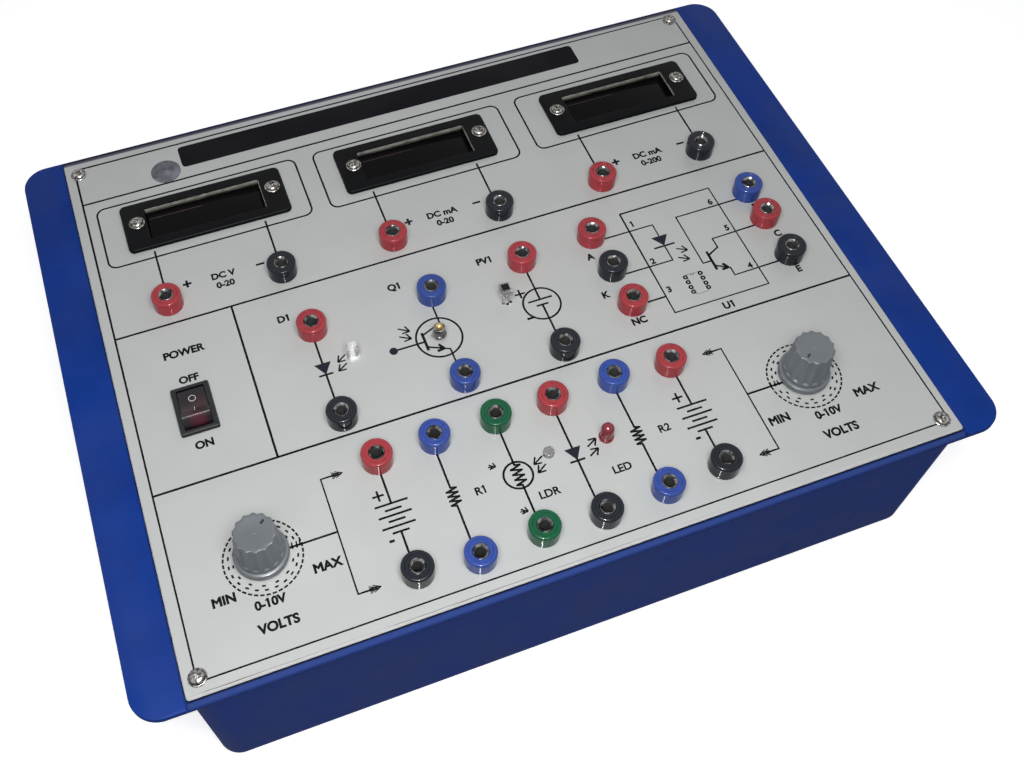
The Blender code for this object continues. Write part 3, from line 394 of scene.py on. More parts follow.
# Dust that settles on faces that look up, thicker in soft patches
DUST_SPECKS = 1500.0
DUST_DRIFTS = 26.0
dust_group, inlet, outlet = new_group(
    "settled_dust",
    (("Vector", "NodeSocketVector", None), ("Amount", "NodeSocketFloat", 0.3)),
    (("Mask", "NodeSocketFloat"),),
)
geometry = shader_node(dust_group, "ShaderNodeNewGeometry")
split = shader_node(dust_group, "ShaderNodeSeparateXYZ", {0: geometry.outputs["Normal"]})
upward = remap(dust_group, split.outputs["Z"], 0.55, 1.0)
specks = remap(dust_group, cloud(dust_group, inlet.outputs["Vector"], DUST_SPECKS, 2.0), 0.62, 0.74)
drifts = remap(dust_group, cloud(dust_group, inlet.outputs["Vector"], DUST_DRIFTS, 4.0), 0.42, 0.75)
cover = calculate(dust_group, "ADD", multiply(dust_group, specks, 0.8), drifts)
cover = multiply(dust_group, cover, upward)
settled = multiply(dust_group, cover, inlet.outputs["Amount"])
dust_group.links.new(settled, outlet.inputs["Mask"])

DUST_COLOUR = (0.42, 0.41, 0.39, 1.0)
DUST_DULLS = 0.35
GLOSSIEST = 0.88
DULLEST = 1.12
GRAIN_STRENGTH = 0.6
COAT_ROUGHNESS = 0.07


def use_group(tree, group, inputs):
    """Places a node group with its own values."""
    return shader_node(tree, "ShaderNodeGroup", inputs, node_tree=group).outputs


def moulded(
    name, colour, roughness, grain=0.4 * MM, depth=0.02 * MM,
    wear=None, dust=0.15, patchy=0.10, shine=0.15, coat=0.0,
):
    """A moulded plastic: patchy colour, mould grain, rubbed edges and dust. Wear is its colour,
    how far in from an edge it reaches, and its strength."""
    made, tree, output = empty_material(name)
    where = shader_node(tree, "ShaderNodeTexCoord").outputs["Object"]
    surface = use_group(tree, grain_group, {"Vector": where, "Grain Size": grain})
    dark = (*[channel * (1.0 - patchy) for channel in colour], 1.0)
    pale = (*[channel * (1.0 + patchy) for channel in colour], 1.0)
    tint = blend_colour(tree, remap(tree, surface["Patch"], 0.35, 0.65), dark, pale)
    if wear:
        worn_colour, reach, strength = wear
        edge_mask = use_group(tree, wear_group, {"Vector": where, "Radius": reach})["Mask"]
        tint = blend_colour(tree, multiply(tree, edge_mask, strength), tint, (*worn_colour, 1.0))
    powder = use_group(tree, dust_group, {"Vector": where, "Amount": dust})["Mask"]
    tint = blend_colour(tree, powder, tint, DUST_COLOUR)
    gloss = remap(tree, surface["Patch"], 0.3, 0.7, roughness * GLOSSIEST, roughness * DULLEST)
    gloss = calculate(tree, "ADD", gloss, multiply(tree, powder, DUST_DULLS))
    surface_shader(
        tree,
        output,
        {
            "Base Color": tint,
            "Roughness": gloss,
            "Normal": relief_normal(tree, surface["Height"], GRAIN_STRENGTH, depth),
            "Specular IOR Level": shine,
            "Coat Weight": coat,
            "Coat Roughness": COAT_ROUGHNESS,
        },
    )
    return made


def place_on(material):
    """A material's node tree, with the position on its piece, whole and as its three parts."""
    tree = material.node_tree
    where = shader_node(tree, "ShaderNodeTexCoord").outputs["Object"]
    return tree, where, shader_node(tree, "ShaderNodeSeparateXYZ", {0: where}).outputs


def paint_over(material, share, colour, strength=1.0):
    """Mixes a colour over a material's base colour, by a share that changes over the surface."""
    tree = material.node_tree
    if strength < 1.0:
        share = multiply(tree, share, strength)
    base = tree.nodes["Principled BSDF"].inputs["Base Color"]
    tree.links.new(blend_colour(tree, share, base.links[0].from_socket, (*colour, 1.0)), base)


BLUE = (0.004, 0.036, 0.250)
BLUE_RUBBED = (0.05, 0.14, 0.50)
REAR_PAINTED_SHADE = (0.030, 0.028, 0.042)
POCKET_PAINTED_SHADE = (0.002, 0.008, 0.045)
LIP_PAINTED_SHEEN = (0.040, 0.078, 0.30)
royal_blue = moulded(
    "royal_blue_abs", BLUE, 0.42, grain=0.5 * MM, wear=(BLUE_RUBBED, 0.6 * MM, 0.55), dust=0.03, shine=0.10
)
rim_blue = moulded(
    "rim_blue_abs", BLUE, 0.42, grain=0.5 * MM, wear=(BLUE_RUBBED, 0.6 * MM, 0.8), dust=0.03, shine=0.10
)

rim_low, rim_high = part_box("case_rim")
panel_low, panel_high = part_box("front_panel")
body_low, body_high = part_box("case_body")
tree, where, parts = place_on(rim_blue)
# Painted shade: a dark band on the rim along the back, between the wings, for the shadow between the panel
# and the rim.
rear_strip = remap(tree, parts["Y"], panel_high.y - 1.0 * MM, panel_high.y)
sideways = calculate(tree, "ABSOLUTE", parts["X"])
between_wings = remap(tree, sideways, panel_high.x + 0.5 * MM, panel_high.x - 1.5 * MM)
paint_over(rim_blue, multiply(tree, rear_strip, between_wings), REAR_PAINTED_SHADE, strength=0.95)
# Painted shade: the rim is darkened next to the panel's left and right edges, for the shadow in the gap
# between them.
beside_panel = remap(tree, sideways, panel_high.x + 0.9 * MM, panel_high.x + 0.5 * MM)
paint_over(rim_blue, beside_panel, POCKET_PAINTED_SHADE, strength=0.7)
# Painted sheen: the sloping front lip gets a lighter, greyer blue for the light it reflects.
on_lip = remap(tree, parts["Z"], rim_high.z - LIP_DROP, rim_high.z - 0.5 * LIP_DROP)
lip_front = remap(tree, parts["Y"], rim_low.y + LIP_RUN + 0.3 * MM, rim_low.y + LIP_RUN - 0.2 * MM)
lip_length = remap(tree, sideways, body_high.x, body_high.x - 1.0 * MM)
lip_share = multiply(tree, multiply(tree, on_lip, lip_front), lip_length)
paint_over(rim_blue, lip_share, LIP_PAINTED_SHEEN, strength=0.9)
rim = block(
    "rim_moulding", rim_low, rim_high,
    corner=RIM_CORNER, corner_steps=CORNER_STEPS, edge=RIM_EDGE, edge_steps=3,
)
cut(
    rim,
    block(
        "pocket_cutter",
        (panel_low.x - SEAT_GAP, panel_low.y - SEAT_GAP, panel_low.z - SEAT_GAP),
        (panel_high.x + SEAT_GAP, panel_high.y + SEAT_GAP, rim_high.z + CUT_OVERRUN),
        corner=POCKET_CORNER, corner_steps=6,
    ),
)
cut(
    rim,
    block(
        "opening_cutter",
        (panel_low.x + RIM_LEDGE, panel_low.y + RIM_LEDGE, rim_low.z - CUT_OVERRUN),
        (panel_high.x - RIM_LEDGE, panel_high.y - RIM_LEDGE, rim_high.z + CUT_OVERRUN),
        corner=OPENING_CORNER, corner_steps=8,
    ),
)
wedge = block("lip_cutter", (body_low.x, -CUT_OVERRUN, 0.0), (body_high.x, CUT_OVERRUN, CUT_OVERRUN))
wedge.rotation_euler.x = math.atan2(LIP_DROP, LIP_RUN)
wedge.location = (0.0, rim_low.y + LIP_RUN / 2, rim_high.z - LIP_DROP / 2)
cut(rim, wedge)
finish_piece(rim, "case", rim_blue)
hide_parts("case_rim")

# Case body
# The wall tub below the rim, moulded in the same blue with drafted walls and open above and below.
# Its rear wall has a flat pocket and a cut-out for the mains inlet.
BODY_WALL = 3.0 * MM
BODY_DRAFT = 0.9 * MM
BODY_CORNER = 8.8 * MM
INLET_HOLE_SET_IN = 2.0 * MM
FACING = 0.9

inlet_low, inlet_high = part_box("mains_inlet")
body = block("body_moulding", body_low, body_high)
body_height = body_high.z - body_low.z
select_faces(lambda centre, normal: normal.z < -FACING)
resize((1.0 - BODY_DRAFT / body_high.x, 1.0 - BODY_DRAFT / body_high.y, 1.0), (0.0, 0.0, body_low.z))
select_edges(lambda a, b: abs(a.z - b.z) > body_height / 2)
bpy.ops.mesh.bevel(offset=BODY_CORNER, segments=CORNER_STEPS, affect="EDGES")
select_faces(lambda centre, normal: abs(normal.z) > FACING)
bpy.ops.mesh.inset(thickness=BODY_WALL)
bpy.ops.mesh.bridge_edge_loops()
deselect_all()
cut(
    body,
    block(
        "inlet_cutter",
        (inlet_low.x + INLET_HOLE_SET_IN, inlet_low.y, inlet_low.z + INLET_HOLE_SET_IN),
        (
            inlet_high.x - INLET_HOLE_SET_IN,
            inlet_high.y + CUT_OVERRUN,
            inlet_high.z - INLET_HOLE_SET_IN,
        ),
    ),
)
finish_piece(body, "case", royal_blue)
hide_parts("case_body")

# Bottom cover
# A flat plate, moulded in blue plastic like the walls. It closes them from below, is held by four
# screws and keeps its CAD shape.
cover_blue = moulded("cover_blue_abs", (0.012, 0.045, 0.26), 0.5, grain=0.7 * MM, dust=0.05)


def refinish(name, material):
    """Gives a carried-over CAD node its material."""
    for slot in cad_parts[name].material_slots:
        slot.material = material


refinish("base_cover", cover_blue)

# Rubber feet
# Four black rubber buttons, moulded with a rounded edge and a dished middle. They are fixed under
# the bottom cover, one near each corner.
FOOT_EDGE = 0.7 * MM
FOOT_DISH_SHARE = 0.45
AXIS_RADIUS = 1e-5
POLE_MERGE = 2.2e-5


def turned(name, profile, centre, steps=64):
    """A lathe-turned shape about an upright axis, drawn ring by ring from radius and height pairs."""
    deselect_all()
    rings = [(max(radius, AXIS_RADIUS), height) for radius, height in profile]
    radius, height = rings[0]
    bpy.ops.mesh.primitive_circle_add(
        vertices=steps, radius=radius, location=(*centre, height), fill_type="NOTHING"
    )
    piece = bpy.context.object
    piece.name = name
    settle()
    select_whole_mesh()
    for new_radius, new_height in rings[1:]:
        bpy.ops.mesh.extrude_edges_move(TRANSFORM_OT_translate={"value": (0.0, 0.0, new_height - height)})
        if new_radius != radius:
            scale = new_radius / radius
            resize((scale, scale, 1.0), (*centre, new_height))
        radius, height = new_radius, new_height
    bpy.ops.mesh.select_all(action="SELECT")
    bpy.ops.mesh.remove_doubles(threshold=POLE_MERGE)
    bpy.ops.mesh.select_all(action="SELECT")
    bpy.ops.mesh.normals_make_consistent(inside=False)
    deselect_all()
    return piece


def arc_points(x, y, radius, start=0.0, end=360.0, steps=48):
    """Points on a circle or a part of it, by angle in degrees."""
    turns = [math.radians(start + (end - start) * step / steps) for step in range(steps + 1)]
    return [(x + radius * math.cos(turn), y + radius * math.sin(turn)) for turn in turns]


def copy_piece(piece, name, shift):
    """A copy of a piece with its own mesh, moved by a shift."""
    hold(piece)
    bpy.ops.object.duplicate(linked=False)
    made = bpy.context.object
    made.name = name
    made.location = Vector(made.location) + Vector(shift)
    settle()
    deselect_all()
    return made


def middle_of(name):
    """The middle of a node's box."""
    low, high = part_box(name)
    return (low + high) / 2


foot_rubber = moulded("foot_rubber_black", (0.018, 0.018, 0.018), 0.75, grain=0.3 * MM, dust=0.2)
FEET = ("foot_front_left", "foot_front_right", "foot_rear_left", "foot_rear_right")
foot_low, foot_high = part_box(FEET[0])
foot_radius = (foot_high.x - foot_low.x) / 2
foot_place = middle_of(FEET[0])
foot = turned(
    "rubber_foot_front_left",
    [
        (0.0, foot_high.z),
        (foot_radius, foot_high.z),
        *arc_points(foot_radius - FOOT_EDGE, foot_low.z + FOOT_EDGE, FOOT_EDGE, 0, -90, 4),
        (foot_radius * FOOT_DISH_SHARE + FOOT_EDGE, foot_low.z),
        (foot_radius * FOOT_DISH_SHARE, foot_low.z + FOOT_EDGE),
        (0.0, foot_low.z + FOOT_EDGE),
    ],
    (foot_place.x, foot_place.y),
    steps=40,
)
for index, name in enumerate(FEET):
    made = foot if index == 0 else copy_piece(foot, "rubber_" + name, middle_of(name) - foot_place)
    finish_piece(made, "case", foot_rubber)
    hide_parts(name)

# Front panel
# A 2 mm sheet with a pale grey printed face, with painted shade on its cut edges and along its rear
# edge. It lies in the rim's pocket, is held by four screws and keeps its CAD shape.
panel_paint = moulded(
    "panel_face_grey", (0.525, 0.54, 0.53), 0.5, grain=0.35 * MM, depth=0.008 * MM,
    dust=0.06, patchy=0.02, shine=0.2, coat=0.25,
)
FILM_INSET = 1.3 * MM
FILM_LINE = 0.32 * MM
FILM_FRAYING = 0.5 * MM
FILM_BARE = (0.60, 0.605, 0.61)
FILM_GRIME = (0.17, 0.13, 0.11)
REAR_TINT = (0.50, 0.49, 0.60)
tree, where, parts = place_on(panel_paint)
frayed = multiply(tree, calculate(tree, "SUBTRACT", cloud(tree, where, 160.0, 5.0), 0.5), FILM_FRAYING)
from_front = calculate(tree, "ADD", calculate(tree, "SUBTRACT", parts["Y"], panel_low.y), frayed)
bare = remap(tree, from_front, FILM_INSET + 0.05 * MM, FILM_INSET - 0.05 * MM)
paint_over(panel_paint, bare, FILM_BARE, strength=0.6)
line_start = remap(tree, from_front, FILM_INSET - FILM_LINE - 0.1 * MM, FILM_INSET - FILM_LINE)
film_line = multiply(tree, bare, line_start)
worn_away = remap(tree, cloud(tree, where, 45.0, 3.0), 0.38, 0.55, 0.25, 0.95)
leftward = remap(tree, parts["X"], 60.0 * MM, -60.0 * MM, 0.15, 1.0)
paint_over(panel_paint, multiply(tree, multiply(tree, film_line, worn_away), leftward), FILM_GRIME)
# A lighter lilac band lies just inside the panel's rear edge. Nearest the edge is a band of painted shade for
# the shadow between the panel and the rim.
rear_edge = remap(tree, parts["Y"], panel_high.y - 2.4 * MM, panel_high.y - 1.9 * MM)
paint_over(panel_paint, rear_edge, REAR_TINT, strength=0.5)
rear_painted_shade = remap(tree, parts["Y"], panel_high.y - 1.7 * MM, panel_high.y - 1.2 * MM)
paint_over(panel_paint, rear_painted_shade, REAR_PAINTED_SHADE, strength=0.92)
panel_top = panel_high.z
fitting_seat = panel_top + SEAT_GAP
# Painted shade: the panel's cut edges below its top face are darkened, for the shadow in the gap around it.
cut_edge = remap(tree, parts["Z"], panel_top - 0.3 * MM, panel_top - 0.6 * MM)
paint_over(panel_paint, cut_edge, POCKET_PAINTED_SHADE, strength=0.96)
refinish("front_panel", panel_paint)

# Panel meters
# Three digital panel meters: a black moulded bezel with soft corners on a box behind the panel, and
# a dark tinted window sunk into it. Two cross-head screws hold the bezel.
METER_CORNER = 2.5 * MM
METER_EDGE = 0.7 * MM
METER_RECESS = 2.8 * MM
METER_BOX_WIDTH = 64.0 * MM
METER_BOX_DEPTH = 21.9 * MM
METER_BOX_CORNER = 0.8 * MM
WINDOW_FLOOR_RISE = 3.0 * MM
LINER_HALF = 0.15 * MM
LINER_SET_IN = 0.2 * MM
LINER_DROP = 0.35 * MM
LINER_EDGE = 0.05 * MM
SIDE_LINER_RISE = 1.5 * MM
METERS = ("meter_1", "meter_2", "meter_3")

bezel_black = moulded(
    "meter_bezel_black", (0.0018, 0.0022, 0.0030), 0.45, grain=0.3 * MM, depth=0.01 * MM,
    wear=((0.04, 0.042, 0.052), 0.5 * MM, 0.6), dust=0.015, shine=0.07,
)

housing_low, housing_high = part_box("meter_1_housing")
window_low, window_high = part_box("meter_1_window")
meter_place = middle_of("meter_1_housing")
bezel = block(
    "meter_1_bezel",
    (housing_low.x, housing_low.y, fitting_seat),
    housing_high,
    corner=METER_CORNER, corner_steps=8, edge=METER_EDGE, edge_steps=4, both_ends=False,
)
box = block(
    "meter_box",
    (meter_place.x - METER_BOX_WIDTH / 2, meter_place.y - METER_BOX_DEPTH / 2, housing_low.z),
    (meter_place.x + METER_BOX_WIDTH / 2, meter_place.y + METER_BOX_DEPTH / 2, housing_high.z - METER_RECESS),
    corner=METER_BOX_CORNER, corner_steps=3,
)
cut(bezel, box, "UNION")
cut(
    bezel,
    block(
        "window_cutter",
        (window_low.x - SEAT_GAP, window_low.y - SEAT_GAP, housing_low.z + WINDOW_FLOOR_RISE),
        (window_high.x + SEAT_GAP, window_high.y + SEAT_GAP, housing_high.z + CUT_OVERRUN),
        corner=METER_BOX_CORNER, corner_steps=4,
    ),
)
window_liner_with_highlight = moulded(
    "window_liner_grey", (0.095, 0.090, 0.078), 0.4, grain=0.1 * MM, depth=0.01 * MM, dust=0.02, patchy=0.5
)
tree, where, parts = place_on(window_liner_with_highlight)
# Painted highlight: the top of each strip is painted much lighter, for the light its upper edge catches.
wall_top_highlight = remap(tree, parts["Z"], housing_high.z - 2.0 * MM, housing_high.z - 1.6 * MM)
dull_spots = remap(tree, cloud(tree, where, 220.0, 4.0), 0.35, 0.6, 0.35, 1.0)
paint_over(window_liner_with_highlight, multiply(tree, wall_top_highlight, dull_spots), (0.36, 0.355, 0.315))
display_edge = moulded(
    "display_edge_red", (0.050, 0.024, 0.028), 0.4, grain=0.2 * MM, dust=0.0, patchy=0.4, shine=0.1
)
DISPLAY_EDGE_DROP = 3.8 * MM
DISPLAY_EDGE_WIDTH = 0.35 * MM
DISPLAY_EDGE_LENGTH = 24.0 * MM
pane = block(
    "meter_1_pane", window_low, window_high, corner=0.5 * MM, corner_steps=3, edge=0.15 * MM, edge_steps=2
)
tinted_glass, tree, output = empty_material("tinted_window")
where = shader_node(tree, "ShaderNodeTexCoord").outputs["Object"]
smear = remap(tree, cloud(tree, where, 90.0, 5.0), 0.35, 0.7, 0.06, 0.16)
surface_shader(
    tree,
    output,
    {"Base Color": (0.0042, 0.0036, 0.0040, 1.0), "Roughness": smear, "Specular IOR Level": 0.05},
)
for index, name in enumerate(METERS):
    shift = middle_of(name + "_housing") - meter_place
    for piece, label, material, slot in (
        (bezel, "_bezel", bezel_black, "meter_black"),
        (pane, "_pane", tinted_glass, "window_red"),
    ):
        made = piece if index == 0 else copy_piece(piece, name + label, shift)
        finish_piece(made, "case", material)
        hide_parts(name + ("_housing" if label == "_bezel" else "_window"))
    refinish(name + "_display", bezel_black)
    floor_low, floor_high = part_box(name + "_window")
    for label, low, high in (
        (
            "_far_liner",
            (floor_low.x + LINER_SET_IN, floor_high.y - LINER_HALF, floor_high.z),
            (floor_high.x - LINER_SET_IN, floor_high.y + LINER_HALF, housing_high.z - LINER_DROP),
        ),
        (
            "_side_liner",
            (floor_high.x - LINER_HALF, floor_low.y + LINER_SET_IN, floor_high.z + SIDE_LINER_RISE),
            (floor_high.x + LINER_HALF, floor_high.y - LINER_SET_IN, housing_high.z - LINER_DROP),
        ),
    ):
        strip = block(name + label, low, high, edge=LINER_EDGE, edge_steps=2)
        finish_piece(strip, "case", window_liner_with_highlight)
    edge_y = floor_high.y - DISPLAY_EDGE_DROP
    edge_strip = block(
        name + "_display_edge",
        (floor_low.x + 1.0 * MM, edge_y - DISPLAY_EDGE_WIDTH / 2, floor_high.z - 0.1 * MM),
        (floor_low.x + DISPLAY_EDGE_LENGTH, edge_y + DISPLAY_EDGE_WIDTH / 2, floor_high.z + 0.06 * MM),
        edge=0.03 * MM, edge_steps=1,
    )
    finish_piece(edge_strip, "case", display_edge)

# Rocker switch
# A black nylon frame with a bevelled bezel snapped into the panel, and a dark red rocker that tips
# on two pins. The rocker is dished. Its red glow is painted light, and the light line along its
# raised end is a painted highlight.
SWITCH_LIP = 0.7 * MM
SWITCH_CORNER = 0.8 * MM
SWITCH_WELL_WIDTH = 11.0 * MM
SWITCH_WELL_DEPTH = 18.26 * MM
SWITCH_WELL_FLOOR = 69.59 * MM
SWITCH_FLANGE = 1.0 * MM
ROCKER_PIVOT_HEIGHT = 75.3 * MM
ROCKER_WIDTH = 10.7 * MM
ROCKER_LENGTH = 14.6 * MM
ROCKER_CREST = 5.2 * MM
ROCKER_DISH = 1.5 * MM
ROCKER_BELLY = 3.2 * MM
ROCKER_BELLY_LENGTH = 8.6 * MM
ROCKER_FOOT_LENGTH = 17.2 * MM
ROCKER_REST = math.radians(-17.0)
ROCKER_EDGE = 0.3 * MM
ROCKER_PIN_RADIUS = 1.0 * MM
ROCKER_PIN_END = 5.8 * MM
DISH_ROWS = 11
DISH_CURVE = 1.5
END_ROWS = 4
# Painted light: patches of red glow on the nearly black rocker, where light shows through it. Each gives a
# place, an inner and an outer reach, and a strength.
PAINTED_GLOW_RED = (0.085, 0.013, 0.022)
PAINTED_GLOWS = (
    (0.6 * MM, -7.0 * MM, 0.8 * MM, 4.2 * MM, 0.85),
    (2.4 * MM, 0.5 * MM, 1.0 * MM, 5.0 * MM, 0.40),
    (-2.5 * MM, -2.0 * MM, 0.5 * MM, 4.0 * MM, 0.30),
)

switch_black = moulded(
    "switch_frame_black", (0.009, 0.010, 0.013), 0.35, grain=0.25 * MM,
    wear=((0.045, 0.05, 0.06), 0.4 * MM, 0.5), dust=0.03, shine=0.25,
)
rocker_plastic = moulded(
    "rocker_dark_red", (0.014, 0.010, 0.014), 0.25, grain=0.25 * MM, depth=0.005 * MM,
    dust=0.02, patchy=0.05, shine=0.25,
)
mark_white = moulded("mark_white", (0.75, 0.75, 0.75), 0.5, grain=0.2 * MM, dust=0.05, patchy=0.03)

switch_low, switch_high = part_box("rocker_frame")
switch_place = middle_of("rocker_frame")
frame_piece = block(
    "switch_frame",
    (switch_low.x, switch_low.y, fitting_seat),
    switch_high,
    corner=SWITCH_CORNER, corner_steps=5, edge=SWITCH_LIP, edge_steps=2, both_ends=False,
)
cut(
    frame_piece,
    block(
        "switch_box",
        (switch_low.x + SWITCH_FLANGE, switch_low.y + SWITCH_FLANGE, switch_low.z + 5.0 * MM),
        (switch_high.x - SWITCH_FLANGE, switch_high.y - SWITCH_FLANGE, panel_top + 1.0 * MM),
        corner=SWITCH_CORNER, corner_steps=3,
    ),
    "UNION",
)
cut(
    frame_piece,
    block(
        "well_cutter",
        (switch_place.x - SWITCH_WELL_WIDTH / 2, switch_place.y - SWITCH_WELL_DEPTH / 2, SWITCH_WELL_FLOOR),
        (
            switch_place.x + SWITCH_WELL_WIDTH / 2,
            switch_place.y + SWITCH_WELL_DEPTH / 2,
            switch_high.z + CUT_OVERRUN,
        ),
        corner=0.3 * MM, corner_steps=2,
    ),
)
finish_piece(frame_piece, "case", switch_black)
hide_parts("rocker_frame")

rocker = block(
    "rocker_button",
    (-ROCKER_WIDTH / 2, -ROCKER_LENGTH / 2, -ROCKER_BELLY),
    (ROCKER_WIDTH / 2, ROCKER_LENGTH / 2, ROCKER_CREST),
)
crest_turn = math.atan2(ROCKER_CREST, ROCKER_LENGTH / 2)
crest_reach = math.hypot(ROCKER_CREST, ROCKER_LENGTH / 2)
end_rows = []
for row in range(END_ROWS):
    share = row / END_ROWS
    reach = ROCKER_FOOT_LENGTH / 2 * (1 - share) + crest_reach * share
    end_rows.append((reach * math.cos(crest_turn * share), reach * math.sin(crest_turn * share)))
select_whole_mesh()
for reach, height in end_rows:
    bpy.ops.mesh.bisect(plane_co=(0.0, 0.0, height), plane_no=(0.0, 0.0, 1.0))
    bpy.ops.mesh.select_all(action="SELECT")
select_faces(lambda centre, normal: normal.z < -FACING)
resize((1.0, ROCKER_BELLY_LENGTH / ROCKER_LENGTH, 1.0), (0.0, 0.0, -ROCKER_BELLY))
for reach, height in end_rows:
    select_edges(lambda a, b: abs(a.z - height) < SAME_PLACE and abs(b.z - height) < SAME_PLACE)
    resize((1.0, 2 * reach / ROCKER_LENGTH, 1.0), (0.0, 0.0, height))
for row in range(1, DISH_ROWS + 1):
    bpy.ops.mesh.select_all(action="SELECT")
    place = ROCKER_LENGTH * (row / (DISH_ROWS + 1) - 0.5)
    bpy.ops.mesh.bisect(plane_co=(0.0, place, 0.0), plane_no=(0.0, 1.0, 0.0))
for row in range(1, DISH_ROWS + 1):
    place = ROCKER_LENGTH * (row / (DISH_ROWS + 1) - 0.5)
    depth = ROCKER_DISH * (1 - (2 * abs(place) / ROCKER_LENGTH) ** DISH_CURVE)
    select_edges(
        lambda a, b: abs(a.y - place) < SAME_PLACE
        and abs(b.y - place) < SAME_PLACE
        and min(a.z, b.z) > ROCKER_CREST - SAME_PLACE
    )
    bpy.ops.transform.translate(value=(0.0, 0.0, -depth))
select_faces(lambda centre, normal: normal.z > 0.5)
bpy.ops.mesh.region_to_loop()
bpy.ops.mesh.bevel(offset=ROCKER_EDGE, segments=3, affect="EDGES")
deselect_all()
pin_rod = turned(
    "rocker_pins",
    [
        (0.0, -ROCKER_PIN_END),
        (ROCKER_PIN_RADIUS, -ROCKER_PIN_END),
        (ROCKER_PIN_RADIUS, ROCKER_PIN_END),
        (0.0, ROCKER_PIN_END),
    ],
    (0.0, 0.0),
    steps=24,
)
pin_rod.rotation_euler.y = math.pi / 2
cut(rocker, pin_rod, "UNION")
rocker.rotation_euler.x = ROCKER_REST
rocker.location = (switch_place.x, switch_place.y, ROCKER_PIVOT_HEIGHT)
tree, where, parts = place_on(rocker_plastic)
level = shader_node(
    tree, "ShaderNodeVectorMath", {0: where, 1: (1.0, 1.0, 0.0)}, operation="MULTIPLY"
).outputs[0]
for shift_x, shift_y, inner, outer, share in PAINTED_GLOWS:
    centre = (switch_place.x + shift_x, switch_place.y + shift_y, 0.0)
    reach = shader_node(
        tree, "ShaderNodeVectorMath", {0: level, 1: centre}, operation="DISTANCE"
    ).outputs["Value"]
    paint_over(rocker_plastic, remap(tree, reach, inner, outer, share, 0.0), PAINTED_GLOW_RED)
# Painted highlight: a light line along the raised end's crest edge, for the light it reflects.
crest_y = switch_place.y - ROCKER_LENGTH / 2 * math.cos(ROCKER_REST) - ROCKER_CREST * math.sin(ROCKER_REST)
near_crest = remap(tree, parts["Y"], crest_y + 0.9 * MM, crest_y + 0.5 * MM)
beside = calculate(tree, "ABSOLUTE", calculate(tree, "SUBTRACT", parts["X"], switch_place.x))
edge_mask = use_group(tree, wear_group, {"Vector": where, "Radius": 0.3 * MM})["Mask"]
crest_line = multiply(tree, multiply(tree, edge_mask, near_crest), remap(tree, beside, 4.6 * MM, 4.3 * MM))
crest_height = ROCKER_PIVOT_HEIGHT + ROCKER_CREST
high_up = remap(tree, parts["Z"], crest_height, crest_height + 0.5 * MM)
paint_over(rocker_plastic, multiply(tree, crest_line, high_up), (0.42, 0.36, 0.33))
finish_piece(rocker, "rocker", rocker_plastic)
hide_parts("rocker")

MARK_SHARE = 0.43
MARK_RADIUS = 1.35 * MM
MARK_LINE = 0.25 * MM
mark_place = ROCKER_LENGTH / 2 * MARK_SHARE
mark_height = ROCKER_CREST - ROCKER_DISH * (1 - MARK_SHARE**DISH_CURVE)
mark_slope = math.atan2(ROCKER_DISH * DISH_CURVE * MARK_SHARE ** (DISH_CURVE - 1), ROCKER_LENGTH / 2)
bpy.ops.mesh.primitive_torus_add(
    major_radius=MARK_RADIUS, minor_radius=MARK_LINE / 2, major_segments=32, minor_segments=8
)
ring_mark = bpy.context.object
ring_mark.name = "rocker_ring_mark"
bar_mark = block(
    "rocker_bar_mark",
    (-MARK_LINE / 2, -MARK_RADIUS, -MARK_LINE / 2),
    (MARK_LINE / 2, MARK_RADIUS, MARK_LINE / 2),
    corner=MARK_LINE / 3, corner_steps=2,
)
pivot = Matrix.Translation((switch_place.x, switch_place.y, ROCKER_PIVOT_HEIGHT))
tip = pivot @ Matrix.Rotation(ROCKER_REST, 4, "X")
for piece, side in ((ring_mark, 1), (bar_mark, -1)):
    piece.scale.z = 0.5
    hold(piece)
    settle()
    on_face = Matrix.Translation((0.0, side * mark_place, mark_height + 0.06 * MM))
    piece.matrix_world = tip @ on_face @ Matrix.Rotation(side * mark_slope, 4, "X")
    finish_piece(piece, "rocker", mark_white)

# Potentiometers and knobs
# Each pot is nutted to the panel and keeps its CAD shape. Its grey knob is one moulding with a
# smooth skirt, a tapered fluted grip and a flat cap, pushed on the shaft.
KNOB_SKIRT_RADIUS = 10.0 * MM
KNOB_SKIRT_HEIGHT = 2.6 * MM
KNOB_SKIRT_EDGE = 0.7 * MM
KNOB_WAIST_RADIUS = 8.8 * MM
KNOB_WAIST_TOP = 3.8 * MM
KNOB_GRIP_RADIUS = 7.8 * MM
KNOB_CAP_EDGE = 0.5 * MM
KNOB_FLUTES = 14
KNOB_FLUTE_DEPTH = 0.62 * MM
KNOB_GATE_RADIUS = 0.55 * MM
KNOB_NUT_ROOM = 6.45 * MM
KNOB_NUT_DEPTH = 3.2 * MM
KNOB_SHAFT_ROOM = 3.3 * MM
KNOB_SHAFT_DEPTH = 13.5 * MM
KNOB_STEPS_PER_FLUTE = 10
KNOB_FLUTE_CURVE = 1.3
KNOB_FLUTE_LOW = KNOB_WAIST_TOP + 0.6 * MM
MARK_START = 3.7 * MM
MARK_END = 5.7 * MM
MARK_WIDTH = 0.9 * MM
KNOBS = (("knob_left", math.radians(41.0)), ("knob_right", math.radians(212.0)))

pot_zinc = moulded("pot_zinc", (0.45, 0.44, 0.42), 0.4, grain=0.3 * MM, dust=0.05)
for name in ("potentiometer_left", "potentiometer_right"):
    refinish(name, pot_zinc)
knob_plastic = moulded(
    "knob_grey_abs", (0.132, 0.148, 0.163), 0.34, grain=0.4 * MM, depth=0.012 * MM,
    wear=((0.30, 0.32, 0.34), 0.4 * MM, 0.35), dust=0.06, shine=0.5,
)

